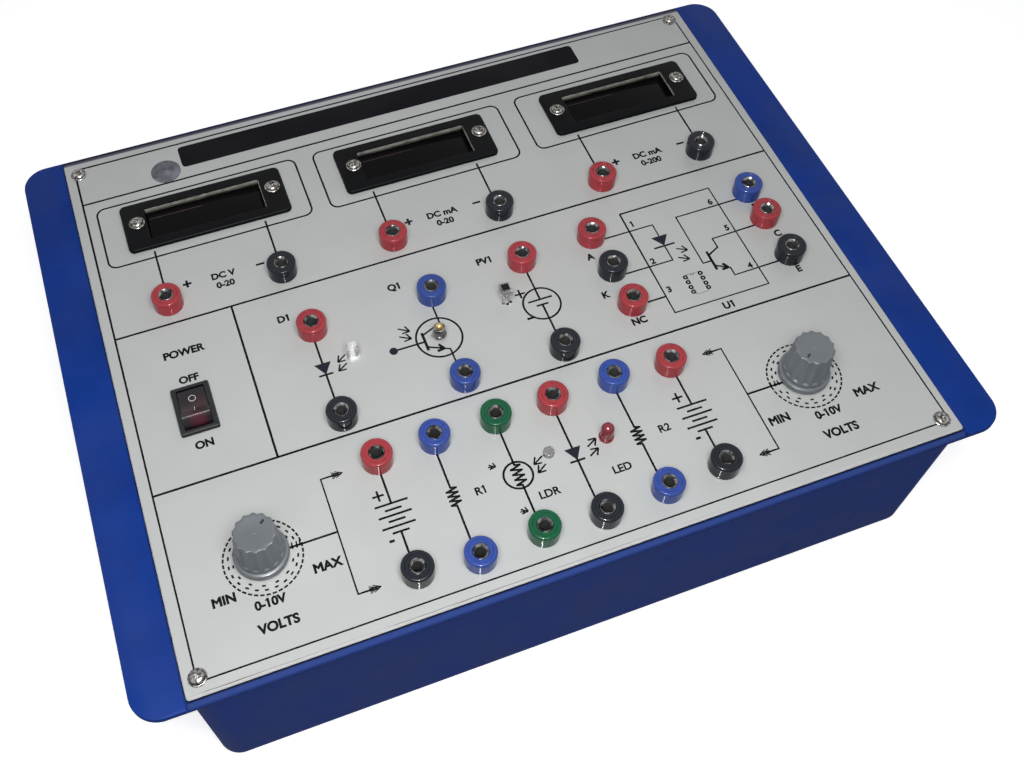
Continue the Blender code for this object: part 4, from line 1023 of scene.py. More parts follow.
knob_low, knob_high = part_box("knob_left")
knob_height = knob_high.z - knob_low.z
grip_top = knob_height - KNOB_CAP_EDGE
knob = turned(
    "knob_left_grip",
    [
        (0.0, KNOB_SHAFT_DEPTH),
        (KNOB_SHAFT_ROOM, KNOB_SHAFT_DEPTH),
        (KNOB_SHAFT_ROOM, KNOB_NUT_DEPTH + 1.2 * MM),
        (KNOB_NUT_ROOM, KNOB_NUT_DEPTH + 1.2 * MM),
        (KNOB_NUT_ROOM, 0.0),
        (KNOB_SKIRT_RADIUS - 0.2 * MM, 0.0),
        (KNOB_SKIRT_RADIUS, 0.2 * MM),
        *arc_points(
            KNOB_SKIRT_RADIUS - KNOB_SKIRT_EDGE,
            KNOB_SKIRT_HEIGHT - KNOB_SKIRT_EDGE,
            KNOB_SKIRT_EDGE, 0, 65, 4,
        ),
        (KNOB_WAIST_RADIUS - 0.1 * MM, KNOB_SKIRT_HEIGHT + 0.05 * MM),
        (KNOB_WAIST_RADIUS - 0.45 * MM, KNOB_SKIRT_HEIGHT + 0.15 * MM),
        (KNOB_WAIST_RADIUS - 0.45 * MM, KNOB_SKIRT_HEIGHT + 0.45 * MM),
        (KNOB_WAIST_RADIUS, KNOB_SKIRT_HEIGHT + 0.65 * MM),
        (KNOB_WAIST_RADIUS, KNOB_WAIST_TOP),
        (KNOB_WAIST_RADIUS - 0.06 * MM, KNOB_FLUTE_LOW),
        (KNOB_WAIST_RADIUS - 0.12 * MM, KNOB_FLUTE_LOW + 0.6 * MM),
        (KNOB_GRIP_RADIUS, grip_top),
        *arc_points(KNOB_GRIP_RADIUS - KNOB_CAP_EDGE, grip_top, KNOB_CAP_EDGE, 30, 90, 3),
        (KNOB_GRIP_RADIUS - 2.0 * MM, knob_height - 0.05 * MM),
        (KNOB_GRIP_RADIUS - 2.4 * MM, knob_height - 0.15 * MM),
        (KNOB_GATE_RADIUS, knob_height - 0.17 * MM),
        (KNOB_GATE_RADIUS - 0.1 * MM, knob_height - 0.05 * MM),
        (KNOB_GATE_RADIUS / 2, knob_height),
        (0.0, knob_height),
    ],
    (0.0, 0.0),
    steps=KNOB_FLUTES * KNOB_STEPS_PER_FLUTE,
)
flute_step = 2 * math.pi / (KNOB_FLUTES * KNOB_STEPS_PER_FLUTE)
half_flute = KNOB_STEPS_PER_FLUTE // 2
for offset in range(1 - half_flute, half_flute):
    depth = KNOB_FLUTE_DEPTH * math.cos(math.pi / 2 * offset / half_flute) ** KNOB_FLUTE_CURVE
    mesh = edit_mesh()
    bpy.ops.mesh.select_mode(type="VERT")
    bpy.ops.mesh.select_all(action="DESELECT")
    for vert in mesh.verts:
        if vert.co.z > KNOB_FLUTE_LOW + 0.1 * MM and vert.co.xy.length > KNOB_GRIP_RADIUS - 1.2 * MM:
            turn = round(math.atan2(vert.co.y, vert.co.x) / flute_step)
            if (turn - offset) % KNOB_STEPS_PER_FLUTE == 0:
                vert.select_set(True)
    bmesh.update_edit_mesh(bpy.context.object.data)
    scale = 1.0 - depth / KNOB_GRIP_RADIUS
    resize((scale, scale, 1.0), (0.0, 0.0, 0.0))
deselect_all()
mark = block(
    "knob_left_mark",
    (MARK_START, -MARK_WIDTH / 2, knob_height - 0.3 * MM),
    (MARK_END, MARK_WIDTH / 2, knob_height),
    corner=MARK_WIDTH * 0.45, corner_steps=3, edge=0.02 * MM, edge_steps=1,
)
mark_dark = moulded("knob_mark_dark", (0.03, 0.032, 0.036), 0.6, grain=0.2 * MM, dust=0.05)
for name, turn in KNOBS:
    place = middle_of(name)
    for piece, label, material in ((knob, "_grip", knob_plastic), (mark, "_mark", mark_dark)):
        made = copy_piece(piece, name + label + "_turned", (0.0, 0.0, 0.0))
        made.rotation_euler.z = turn
        made.location = (place.x, place.y, knob_low.z)
        finish_piece(made, name, material)
        if label == "_grip":
            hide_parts(name)
for piece in (knob, mark):
    bpy.data.objects.remove(piece)

# Sockets
# Thirty insulated 4 mm sockets. Each has a turned glossy plastic head on a barrel that passes the
# panel, and a nickel-plated liner whose rim shows round the bore. The heads' rims and the deep bore
# carry painted shade.
SOCKET_HEAD_RADIUS = 6.0 * MM
SOCKET_HEAD_EDGE = 0.8 * MM
SOCKET_BARREL_RADIUS = 3.7 * MM
SOCKET_RIM_RADIUS = 3.0 * MM
SOCKET_BORE_RADIUS = 1.85 * MM
SOCKET_BORE_DEPTH = 16.0 * MM
SOCKET_GROOVE_INNER = 4.2 * MM
SOCKET_GROOVE_OUTER = 4.6 * MM
SOCKET_GROOVE_DEPTH = 0.1 * MM
SOCKET_COLOURS = {
    "red": (0.40, 0.042, 0.054),
    "black": (0.012, 0.016, 0.023),
    "blue": (0.032, 0.072, 0.33),
    "green": (0.004, 0.11, 0.045),
}

nickel, tree, output = empty_material("socket_nickel")
where = shader_node(tree, "ShaderNodeTexCoord").outputs["Object"]
dull = remap(tree, cloud(tree, where, 240.0, 4.0), 0.35, 0.7, 0.16, 0.34)
mottle = remap(tree, cloud(tree, where, 520.0, 3.0), 0.40, 0.62)
surface_shader(
    tree,
    output,
    {
        "Base Color": blend_colour(tree, mottle, (0.03, 0.03, 0.030, 1.0), (0.25, 0.25, 0.245, 1.0)),
        "Metallic": 1.0,
        "Roughness": dull,
        "Normal": relief_normal(tree, cloud(tree, where, 2200.0), 0.4, 0.01 * MM),
    },
)

socket_names = [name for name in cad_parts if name.startswith("socket_")]
first_socket = socket_names[0]
socket_low, socket_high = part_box(first_socket)
socket_place = middle_of(first_socket)
socket_top = socket_high.z
bore_bottom = socket_top - SOCKET_BORE_DEPTH
socket_body = turned(
    "socket_pattern",
    [
        (0.0, socket_low.z),
        (SOCKET_BARREL_RADIUS, socket_low.z),
        (SOCKET_BARREL_RADIUS, fitting_seat),
        (SOCKET_HEAD_RADIUS, fitting_seat),
        (SOCKET_HEAD_RADIUS, socket_top - SOCKET_HEAD_EDGE - 0.25 * MM),
        *arc_points(
            SOCKET_HEAD_RADIUS - SOCKET_HEAD_EDGE, socket_top - SOCKET_HEAD_EDGE, SOCKET_HEAD_EDGE, 0, 90, 5
        ),
        (SOCKET_GROOVE_OUTER, socket_top),
        (SOCKET_GROOVE_OUTER - 0.1 * MM, socket_top - SOCKET_GROOVE_DEPTH),
        (SOCKET_GROOVE_INNER + 0.1 * MM, socket_top - SOCKET_GROOVE_DEPTH),
        (SOCKET_GROOVE_INNER, socket_top),
        (SOCKET_RIM_RADIUS + 0.25 * MM, socket_top),
        (SOCKET_RIM_RADIUS, socket_top - 0.25 * MM),
        (SOCKET_RIM_RADIUS, bore_bottom),
        (0.0, bore_bottom),
    ],
    (socket_place.x, socket_place.y),
    steps=48,
)
liner_top = socket_top - 0.1 * MM
socket_liner = turned(
    "liner_pattern",
    [
        (0.0, bore_bottom + 0.1 * MM),
        (SOCKET_RIM_RADIUS - 0.05 * MM, bore_bottom + 0.1 * MM),
        (SOCKET_RIM_RADIUS - 0.05 * MM, liner_top - 0.1 * MM),
        (SOCKET_RIM_RADIUS - 0.15 * MM, liner_top),
        (SOCKET_RIM_RADIUS - 0.35 * MM, liner_top),
        (SOCKET_BORE_RADIUS + 0.12 * MM, liner_top - 0.6 * MM),
        (SOCKET_BORE_RADIUS, liner_top - 0.8 * MM),
        (SOCKET_BORE_RADIUS, bore_bottom + 0.3 * MM),
        (0.0, bore_bottom + 0.3 * MM),
    ],
    (socket_place.x, socket_place.y),
    steps=40,
)
# The edge band passed as wear is painted shade: it darkens each head's top rim, and its base at the panel, to
# a quarter of its colour.
socket_plastics = {
    colour: moulded(
        "socket_plastic_" + colour, value, 0.13, grain=0.5 * MM, depth=0.003 * MM,
        wear=([channel * 0.25 for channel in value], 0.35 * MM, 0.8), dust=0.02, patchy=0.10, shine=0.20,
    )
    for colour, value in SOCKET_COLOURS.items()
}
# Painted shade: the deep faces of the liner's bore get a near-black finish for the dark inside of the bore.
bore_painted_shade = moulded("socket_bore_tarnish", (0.05, 0.05, 0.052), 0.35, grain=0.2 * MM, dust=0.0, shine=0.6)
socket_liner.data.materials.append(nickel)
socket_liner.data.materials.append(bore_painted_shade)
for face in socket_liner.data.polygons:
    deep = face.center.z < liner_top - 0.65 * MM
    inside = (face.center - socket_place).xy.length < SOCKET_RIM_RADIUS - 0.2 * MM
    face.material_index = 1 if deep and inside else 0
for name in socket_names:
    shift = middle_of(name) - socket_place
    colour = name.rsplit("_", 1)[1]
    head = copy_piece(socket_body, "body_" + name, shift)
    finish_piece(head, "case", socket_plastics[colour])
    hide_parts(name)
    liner = copy_piece(socket_liner, "liner_" + name, shift)
    finish_piece(liner, "case", None)
for piece in (socket_body, socket_liner):
    bpy.data.objects.remove(piece)

# Light-sensing and light-giving parts
# Small parts on wire legs in holes of the panel: a clear photo diode, a photo transistor in a dull
# can with a gilt dome, a milky photovoltaic cell, a light-dependent resistor and a red LED.
LEG_HALF = 0.28 * MM
LEG_BOTTOM = 68.3 * MM
LEG_PITCH = 2.54 * MM
LAMP_RADIUS = 2.5 * MM
LAMP_FLANGE_RADIUS = 2.9 * MM
LAMP_FLANGE_HEIGHT = 1.0 * MM
LAMP_WALL_HEIGHT = 6.2 * MM
LAMP_HEAD_WALL = 1.6 * MM
CAN_RADIUS = 2.35 * MM
CAN_RIM_RADIUS = 2.8 * MM
CAN_RIM_HEIGHT = 0.5 * MM
CAN_WALL_HEIGHT = 4.3 * MM
CAN_LENS_HEIGHT = 2.3 * MM
CAN_EDGE = 0.4 * MM
CAN_LENS_INSET = 0.65 * MM
LENS_ROWS = 8
RESIN_IOR = 1.5
POST_HALF_DEPTH = 0.25 * MM
POST_EDGE = 0.1 * MM
POSTS = (("left", -1, 4.6 * MM, 0.55 * MM, 0.55 * MM), ("right", 1, 5.2 * MM, 0.9 * MM, 0.27 * MM))


def join_pieces(pieces, name):
    """Joins pieces into the first of them."""
    hold(pieces[0])
    for piece in pieces:
        piece.select_set(True)
    bpy.ops.object.join()
    pieces[0].name = name
    return pieces[0]


def wire_legs(name, places, top, body_place):
    """Tinned wire legs from below the panel up into a part."""
    legs = []
    for x, y in places:
        leg = block(
            name,
            (body_place.x + x - LEG_HALF, body_place.y + y - LEG_HALF, LEG_BOTTOM),
            (body_place.x + x + LEG_HALF, body_place.y + y + LEG_HALF, top),
            corner=LEG_HALF / 3, corner_steps=2,
        )
        legs.append(leg)
    finish_piece(join_pieces(legs, name), "case", tinned_wire)


def metal(name, dark, bright, low_rough, high_rough, scale=300.0):
    """A metal with a mottled tone and an uneven polish."""
    made, tree, output = empty_material(name)
    where = shader_node(tree, "ShaderNodeTexCoord").outputs["Object"]
    mottle = remap(tree, cloud(tree, where, scale, 4.0), 0.38, 0.62)
    polish = remap(tree, cloud(tree, where, scale * 0.7, 5.0), 0.35, 0.7, low_rough, high_rough)
    surface_shader(
        tree,
        output,
        {
            "Base Color": blend_colour(tree, mottle, (*dark, 1.0), (*bright, 1.0)),
            "Metallic": 1.0,
            "Roughness": polish,
            "Normal": relief_normal(tree, cloud(tree, where, scale * 12, 2.0), 0.3, 0.01 * MM),
        },
    )
    return made


def resin(name, colour, transmission, low_rough, high_rough):
    """Cast resin: smooth, clear or tinted, with faint casting haze on its surface."""
    made, tree, output = empty_material(name)
    where = shader_node(tree, "ShaderNodeTexCoord").outputs["Object"]
    haze = remap(tree, cloud(tree, where, 700.0, 3.0), 0.35, 0.7, low_rough, high_rough)
    pale = (*[min(channel * 1.1, 1.0) for channel in colour], 1.0)
    tint = blend_colour(tree, cloud(tree, where, 400.0, 2.0), (*colour, 1.0), pale)
    surface_shader(
        tree,
        output,
        {
            "Base Color": tint,
            "Roughness": haze,
            "IOR": RESIN_IOR,
            "Transmission Weight": transmission,
            "Normal": relief_normal(tree, cloud(tree, where, 900.0, 2.0), 0.2, 0.01 * MM),
        },
    )
    return made


tinned_wire = metal("tinned_wire", (0.42, 0.41, 0.39), (0.60, 0.59, 0.57), 0.25, 0.45)
gilt = metal("gilt_dome", (0.34, 0.23, 0.08), (0.72, 0.53, 0.24), 0.16, 0.32)
clear_resin = resin("clear_resin", (0.96, 0.97, 0.97), 0.88, 0.02, 0.07)
lit_head_resin = resin("clear_resin_head", (0.97, 0.98, 0.98), 0.74, 0.02, 0.05)
milky_resin = resin("milky_resin", (0.72, 0.73, 0.74), 0.82, 0.03, 0.10)
dull_tin = metal("dull_tin_can", (0.05, 0.05, 0.048), (0.26, 0.25, 0.24), 0.2, 0.4)
red_resin = resin("red_diffused_resin", (0.27, 0.014, 0.028), 0.25, 0.16, 0.28)

# The photodiode's head gets a lighter, less clear copy of its resin: painted light on the lit dome.
for name, label, body_resin, head_resin, slot in (
    ("photodiode", "photodiode_lamp", clear_resin, lit_head_resin, "clear_resin"),
    ("led", "led_lamp", red_resin, red_resin, "led_red"),
):
    low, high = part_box(name)
    place = (low + high) / 2
    base = fitting_seat
    lamp = turned(
        label,
        [
            (0.0, base),
            (LAMP_FLANGE_RADIUS, base),
            (LAMP_FLANGE_RADIUS, base + LAMP_FLANGE_HEIGHT - 0.15 * MM),
            (LAMP_FLANGE_RADIUS - 0.15 * MM, base + LAMP_FLANGE_HEIGHT),
            (LAMP_RADIUS, base + LAMP_FLANGE_HEIGHT),
            (LAMP_RADIUS, base + LAMP_WALL_HEIGHT - LAMP_HEAD_WALL),
            (LAMP_RADIUS, base + LAMP_WALL_HEIGHT),
            *arc_points(0.0, base + LAMP_WALL_HEIGHT, LAMP_RADIUS, 12, 90, 9),
        ],
        (place.x, place.y),
        steps=40,
    )
    lamp.data.materials.append(body_resin)
    lamp.data.materials.append(head_resin)
    for face in lamp.data.polygons:
        face.material_index = 1 if face.center.z > base + LAMP_WALL_HEIGHT - LAMP_HEAD_WALL else 0
    finish_piece(lamp, "case", None)
    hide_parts(name)
    wire_legs(name + "_legs", ((-LEG_PITCH / 2, 0.0), (LEG_PITCH / 2, 0.0)), base + 0.8 * MM, place)
    if name == "photodiode":
        for side_name, side, top_height, reach_left, reach_right in POSTS:
            post_x = place.x + side * LEG_PITCH / 2
            post = block(
                "photodiode_post_" + side_name,
                (post_x - reach_left, place.y - POST_HALF_DEPTH, base + 0.8 * MM),
                (post_x + reach_right, place.y + POST_HALF_DEPTH, base + top_height),
                corner=POST_EDGE, corner_steps=2, edge=POST_EDGE, edge_steps=2,
            )
            finish_piece(post, "case", tinned_wire)

low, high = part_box("phototransistor")
place = (low + high) / 2
can_base = panel_top + 2.2 * MM
can_top = can_base + CAN_WALL_HEIGHT
rim_top = can_base + CAN_RIM_HEIGHT
can = turned(
    "phototransistor_can",
    [
        (0.0, can_base),
        (CAN_RIM_RADIUS - 0.1 * MM, can_base),
        (CAN_RIM_RADIUS, can_base + 0.1 * MM),
        (CAN_RIM_RADIUS, rim_top - 0.1 * MM),
        (CAN_RIM_RADIUS - 0.1 * MM, rim_top),
        (CAN_RADIUS + 0.1 * MM, rim_top),
        (CAN_RADIUS, rim_top + 0.1 * MM),
        (CAN_RADIUS, can_top),
        *arc_points(CAN_RADIUS - CAN_EDGE, can_top, CAN_EDGE, 20, 90, 4),
        (CAN_RADIUS - 0.6 * MM, can_top + CAN_EDGE),
        (CAN_RADIUS - 0.6 * MM, can_top),
        (0.0, can_top),
    ],
    (place.x, place.y),
    steps=40,
)
tab = block(
    "phototransistor_tab",
    (place.x - CAN_RIM_RADIUS - 0.7 * MM, place.y - 0.4 * MM, can_base + 0.05 * MM),
    (place.x - CAN_RADIUS, place.y + 0.4 * MM, rim_top - 0.05 * MM),
    corner=0.1 * MM, corner_steps=2,
)
cut(can, tab, "UNION")
finish_piece(can, "case", dull_tin)
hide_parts("phototransistor")
lens_radius = CAN_RADIUS - CAN_LENS_INSET
lens_rows = []
for row in range(LENS_ROWS - 1, -1, -1):
    share = row / LENS_ROWS
    rise = (CAN_LENS_HEIGHT - CAN_EDGE) * math.sqrt(1 - share**2)
    lens_rows.append((share * lens_radius, can_top + CAN_EDGE + rise))
lens = turned(
    "phototransistor_lens",
    [
        (0.0, can_top + 0.05 * MM),
        (lens_radius, can_top + 0.05 * MM),
        (lens_radius, can_top + CAN_EDGE),
        *lens_rows,
    ],
    (place.x, place.y),
    steps=36,
)
finish_piece(lens, "case", gilt)
wire_legs(
    "phototransistor_legs",
    [
        (LEG_PITCH / 2 * math.cos(turn), LEG_PITCH / 2 * math.sin(turn))
        for turn in (math.pi / 2, math.pi * 7 / 6, math.pi * 11 / 6)
    ],
    can_base + 0.3 * MM,
    place,
)

CELL_WIDTH = 4.3 * MM
CELL_DEPTH = 5.4 * MM
CELL_BASE = 81.5 * MM
CELL_HEIGHT = 3.2 * MM
CELL_CHIP = 1.6 * MM
CELL_CHIP_PLACE = 0.35 * MM
CELL_LEG_Y = -1.5 * MM
CELL_HOLE_RADIUS = 0.62 * MM
CELL_HOLE_BOTTOM = panel_top - 0.02 * MM
CELL_HOLE_TOP = panel_top + 0.03 * MM
low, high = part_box("photovoltaic_cell")
place = (low + high) / 2
cell_low = Vector((place.x - CELL_WIDTH / 2, place.y - CELL_DEPTH / 2, CELL_BASE))
cell_high = Vector((place.x + CELL_WIDTH / 2, place.y + CELL_DEPTH / 2, CELL_BASE + CELL_HEIGHT))
cell = block(
    "photovoltaic_package", cell_low, cell_high, corner=0.4 * MM, corner_steps=4, edge=0.25 * MM, edge_steps=3
)
finish_piece(cell, "case", milky_resin)
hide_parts("photovoltaic_cell")
chip_black = moulded(
    "cell_chip_black", (0.006, 0.006, 0.010), 0.2, grain=0.1 * MM, depth=0.002 * MM, dust=0.0
)
chip = block(
    "photovoltaic_chip",
    (place.x - CELL_CHIP, place.y + CELL_CHIP_PLACE - CELL_CHIP, CELL_BASE + 2.55 * MM),
    (place.x + CELL_CHIP, place.y + CELL_CHIP_PLACE + CELL_CHIP, CELL_BASE + 3.22 * MM),
    corner=0.05 * MM, corner_steps=1, edge=0.04 * MM, edge_steps=1,
)
finish_piece(chip, "case", chip_black)
carrier = block(
    "photovoltaic_carrier",
    (place.x - 1.8 * MM, place.y - 2.3 * MM, CELL_BASE + 1.3 * MM),
    (place.x + 1.8 * MM, place.y + 2.45 * MM, CELL_BASE + 1.8 * MM),
    corner=0.2 * MM, corner_steps=2,
)
finish_piece(carrier, "case", tinned_wire)
wire_legs(
    "photovoltaic_legs",
    ((-LEG_PITCH / 2, CELL_LEG_Y), (LEG_PITCH / 2, CELL_LEG_Y)),
    CELL_BASE + 1.4 * MM,
    place,
)
# Painted shade: black discs on the panel over the cell's two leg holes, for their dark insides.
for label, side in (("left", -1), ("right", 1)):
    leg_hole_shade = turned(
        "photovoltaic_hole_" + label,
        [
            (0.0, CELL_HOLE_BOTTOM),
            (CELL_HOLE_RADIUS, CELL_HOLE_BOTTOM),
            (CELL_HOLE_RADIUS, CELL_HOLE_TOP),
            (0.0, CELL_HOLE_TOP),
        ],
        (place.x + side * LEG_PITCH / 2, place.y + CELL_LEG_Y),
        steps=20,
    )
    finish_piece(leg_hole_shade, "case", chip_black)

LDR_RADIUS = 2.1 * MM
LDR_FLAT_SHARE = 0.9
LDR_HEIGHT = 2.2 * MM
LDR_TRACK_PITCH = 0.85 * MM
LDR_LEG_REACH = 1.6 * MM
low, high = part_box("light_dependent_resistor")
place = (low + high) / 2
ldr_top = fitting_seat + LDR_HEIGHT
ldr = turned(
    "ldr_disc",
    [
        (0.0, fitting_seat),
        (LDR_RADIUS, fitting_seat),
        (LDR_RADIUS, ldr_top - 0.3 * MM),
        (LDR_RADIUS - 0.1 * MM, ldr_top - 0.1 * MM),
        (LDR_RADIUS - 0.3 * MM, ldr_top),
        (0.0, ldr_top),
    ],
    (0.0, 0.0),
    steps=40,
)
for side in (-1, 1):
    flat = block(
        "ldr_flat",
        (0.0, -CUT_OVERRUN, fitting_seat - CUT_OVERRUN),
        (CUT_OVERRUN, CUT_OVERRUN, fitting_seat + CUT_OVERRUN),
    )
    flat.location.x = LDR_RADIUS * LDR_FLAT_SHARE if side > 0 else -LDR_RADIUS * LDR_FLAT_SHARE - CUT_OVERRUN
    cut(ldr, flat)
ldr.location = (place.x, place.y, 0.0)
ldr_body = resin("ldr_body_grey", (0.34, 0.34, 0.34), 0.1, 0.15, 0.3)
tree, where, parts = place_on(ldr_body)
wave = calculate(tree, "SINE", multiply(tree, parts["Y"], 2 * math.pi / LDR_TRACK_PITCH))
on_top = remap(tree, parts["Z"], ldr_top - 0.08 * MM, ldr_top - 0.03 * MM)
from_middle = calculate(tree, "ABSOLUTE", calculate(tree, "SUBTRACT", parts["X"], place.x))
track = multiply(tree, remap(tree, wave, 0.0, 0.3), remap(tree, from_middle, 1.65 * MM, 1.5 * MM))
paint_over(ldr_body, multiply(tree, track, on_top), (0.20, 0.18, 0.175))
mottled = remap(tree, cloud(tree, where, 1400.0, 3.0), 0.45, 0.6, 0.0, 0.7)
paint_over(ldr_body, mottled, (0.16, 0.155, 0.155))
finish_piece(ldr, "case", ldr_body)
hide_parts("light_dependent_resistor")
wire_legs("ldr_legs", ((-LDR_LEG_REACH, 0.0), (LDR_LEG_REACH, 0.0)), fitting_seat + 0.5 * MM, place)

# Mains inlet
# A black moulded appliance inlet in the rear wall, with a rounded flange, a deep mouth and three
# flat plated pins. It is held from behind, and no cord is in it.
INLET_CENTRE_Z = 39.3 * MM
INLET_FACE_Y = 127.5 * MM
INLET_FLANGE = (31.0 * MM, 23.4 * MM, 1.8 * MM)
INLET_BODY = (26.8 * MM, 19.2 * MM)
INLET_MOUTH = (24.2 * MM, 16.6 * MM, 19.0 * MM)
INLET_BACK = 4.5 * MM
INLET_PIN = (2.0 * MM, 4.0 * MM)
INLET_PIN_SET_BACK = 5.5 * MM
INLET_PINS = ((-7.0 * MM, 2.0 * MM), (7.0 * MM, 2.0 * MM), (0.0, -2.0 * MM))

inlet_x = middle_of("mains_inlet").x
inlet = block(
    "inlet_shell",
    (-INLET_FLANGE[0] / 2, -INLET_FLANGE[1] / 2, -INLET_FLANGE[2]),
    (INLET_FLANGE[0] / 2, INLET_FLANGE[1] / 2, 0.0),
    corner=3.0 * MM, corner_steps=6, edge=0.4 * MM, edge_steps=3, both_ends=False,
)
cut(
    inlet,
    block(
        "inlet_box",
        (-INLET_BODY[0] / 2, -INLET_BODY[1] / 2, -INLET_MOUTH[2] - INLET_BACK),
        (INLET_BODY[0] / 2, INLET_BODY[1] / 2, -INLET_FLANGE[2] / 2),
        corner=3.0 * MM, corner_steps=6,
    ),
    "UNION",
)
cut(
    inlet,
    block(
        "inlet_mouth",
        (-INLET_MOUTH[0] / 2, -INLET_MOUTH[1] / 2, -INLET_MOUTH[2]),
        (INLET_MOUTH[0] / 2, INLET_MOUTH[1] / 2, CUT_OVERRUN),
        corner=3.4 * MM, corner_steps=6,
    ),
)
inlet_black = moulded("inlet_black", (0.010, 0.010, 0.011), 0.4, grain=0.3 * MM, dust=0.05)
inlet.rotation_euler.x = -math.pi / 2
inlet.location = (inlet_x, INLET_FACE_Y, INLET_CENTRE_Z)
finish_piece(inlet, "case", inlet_black)
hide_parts("mains_inlet")
for index, (pin_x, pin_y) in enumerate(INLET_PINS):
    pin = block(
        "inlet_pin_" + str(index + 1),
        (pin_x - INLET_PIN[0] / 2, pin_y - INLET_PIN[1] / 2, -INLET_MOUTH[2] - 1.0 * MM),
        (pin_x + INLET_PIN[0] / 2, pin_y + INLET_PIN[1] / 2, -INLET_PIN_SET_BACK),
        corner=0.3 * MM, corner_steps=3, edge=0.6 * MM, edge_steps=3, both_ends=False,
    )
    pin.rotation_euler.x = -math.pi / 2
    pin.location = (inlet_x, INLET_FACE_Y, INLET_CENTRE_Z)
    finish_piece(pin, "case", nickel)

# Screws
# Plated steel screws with a flange, a domed head and a pressed cross recess. Four hold the panel,
# two hold each meter's bezel and four hold the bottom cover.
SCREW_FLANGE_RADIUS = 3.35 * MM
SCREW_HEAD_RADIUS = 2.75 * MM
SCREW_HEIGHT = 1.9 * MM
RECESS_WIDTH = 0.95 * MM
RECESS_LENGTH = 3.7 * MM
RECESS_DEPTH = 1.2 * MM
RECESS_TAPER = 0.5
SCREW_GROOVE = (2.45 * MM, 2.95 * MM)
PANEL_SCREWS = (
    (-144.4, 117.0, 20.0), (143.3, 119.2, 55.0), (-144.7, -118.5, 35.0), (144.1, -118.7, 10.0),
)
METER_SCREWS = (
    (-125.6, 79.5, 15.0), (-66.4, 79.8, 40.0), (-29.6, 79.4, 65.0),
    (29.4, 79.8, 5.0), (67.6, 80.0, 30.0), (128.0, 80.4, 50.0),
)
COVER_SCREWS = ((-110.0, -100.0, 12.0), (110.0, -100.0, 44.0), (-110.0, 100.0, 71.0), (110.0, 100.0, 28.0))

screw_steel = metal("screw_plated_steel", (0.030, 0.030, 0.028), (0.36, 0.35, 0.33), 0.16, 0.36, 900.0)
# Painted shade: the band where the dome meets the flange gets a near-black metal. Painted glint: the walls of
# the cross recess get a bright metal.
screw_painted_shade = metal("screw_seat_dark", (0.012, 0.012, 0.012), (0.12, 0.115, 0.11), 0.25, 0.45, 1200.0)
screw_painted_glint = metal("screw_recess_bright", (0.20, 0.20, 0.19), (0.85, 0.84, 0.82), 0.10, 0.25, 1500.0)
screw = turned(
    "screw_pattern",
    [
        (0.0, 0.0),
        (SCREW_FLANGE_RADIUS, 0.0),
        (SCREW_FLANGE_RADIUS, 0.35 * MM),
        (SCREW_FLANGE_RADIUS - 0.15 * MM, 0.5 * MM),
        (SCREW_HEAD_RADIUS + 0.1 * MM, 0.6 * MM),
        (SCREW_HEAD_RADIUS - 0.1 * MM, 1.1 * MM),
        (SCREW_HEAD_RADIUS - 0.6 * MM, 1.6 * MM),
        (SCREW_HEAD_RADIUS - 1.4 * MM, 1.85 * MM),
        (0.0, SCREW_HEIGHT),
    ],
    (0.0, 0.0),
    steps=36,
)
for turn in (0.0, math.pi / 2):
    slot_cutter = block(
        "recess_cutter",
        (-RECESS_LENGTH / 2, -RECESS_WIDTH / 2, SCREW_HEIGHT - RECESS_DEPTH),
        (RECESS_LENGTH / 2, RECESS_WIDTH / 2, SCREW_HEIGHT + CUT_OVERRUN),
    )
    select_faces(lambda centre, normal: normal.z < -FACING)
    resize((RECESS_TAPER, RECESS_TAPER, 1.0), (0.0, 0.0, SCREW_HEIGHT - RECESS_DEPTH))
    deselect_all()
    slot_cutter.rotation_euler.z = turn
    cut(screw, slot_cutter)
for shade in (screw_steel, screw_painted_shade, screw_painted_glint):
    screw.data.materials.append(shade)
for face in screw.data.polygons:
    out = face.center.xy.length
    if SCREW_GROOVE[0] < out < SCREW_GROOVE[1]:
        face.material_index = 1
    elif out < RECESS_LENGTH / 2 and abs(face.normal.z) < 0.7 and face.center.z > SCREW_HEIGHT - RECESS_DEPTH:
        face.material_index = 2
bezel_top = housing_high.z
for label, places, seat, flip in (
    ("panel_screw", PANEL_SCREWS, panel_top, False),
    ("meter_screw", METER_SCREWS, bezel_top, False),
    ("cover_screw", COVER_SCREWS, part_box("base_cover")[0].z, True),
):
    for index, (x, y, turn) in enumerate(places):
        made = copy_piece(screw, label + "_" + str(index + 1), (0.0, 0.0, 0.0))
        made.rotation_euler = (math.pi if flip else 0.0, 0.0, math.radians(turn))
        made.location = (x * MM, y * MM, seat)
        finish_piece(made, "case", None)
bpy.data.objects.remove(screw)

# Printed face
# Black ink on the panel: the frame and its divisions, the wiring diagram that joins the sockets,
# the dashed rings round the knobs, and plain generic marks.
INK_HEIGHT = 0.05 * MM
FRAME_WIDTH = 0.92 * MM
WIRE_WIDTH = 0.85 * MM
BOLD_WIDTH = 1.15 * MM
DASH_WIDTH = 0.7 * MM

ink_black = moulded(
    "printing_ink_black", (0.005, 0.005, 0.008), 0.5, grain=0.25 * MM, depth=0.004 * MM, dust=0.02, shine=0.05
)
ink_thin = moulded(
    "printing_ink_thin", (0.016, 0.018, 0.028), 0.5, grain=0.25 * MM, depth=0.004 * MM, dust=0.02, shine=0.05
)


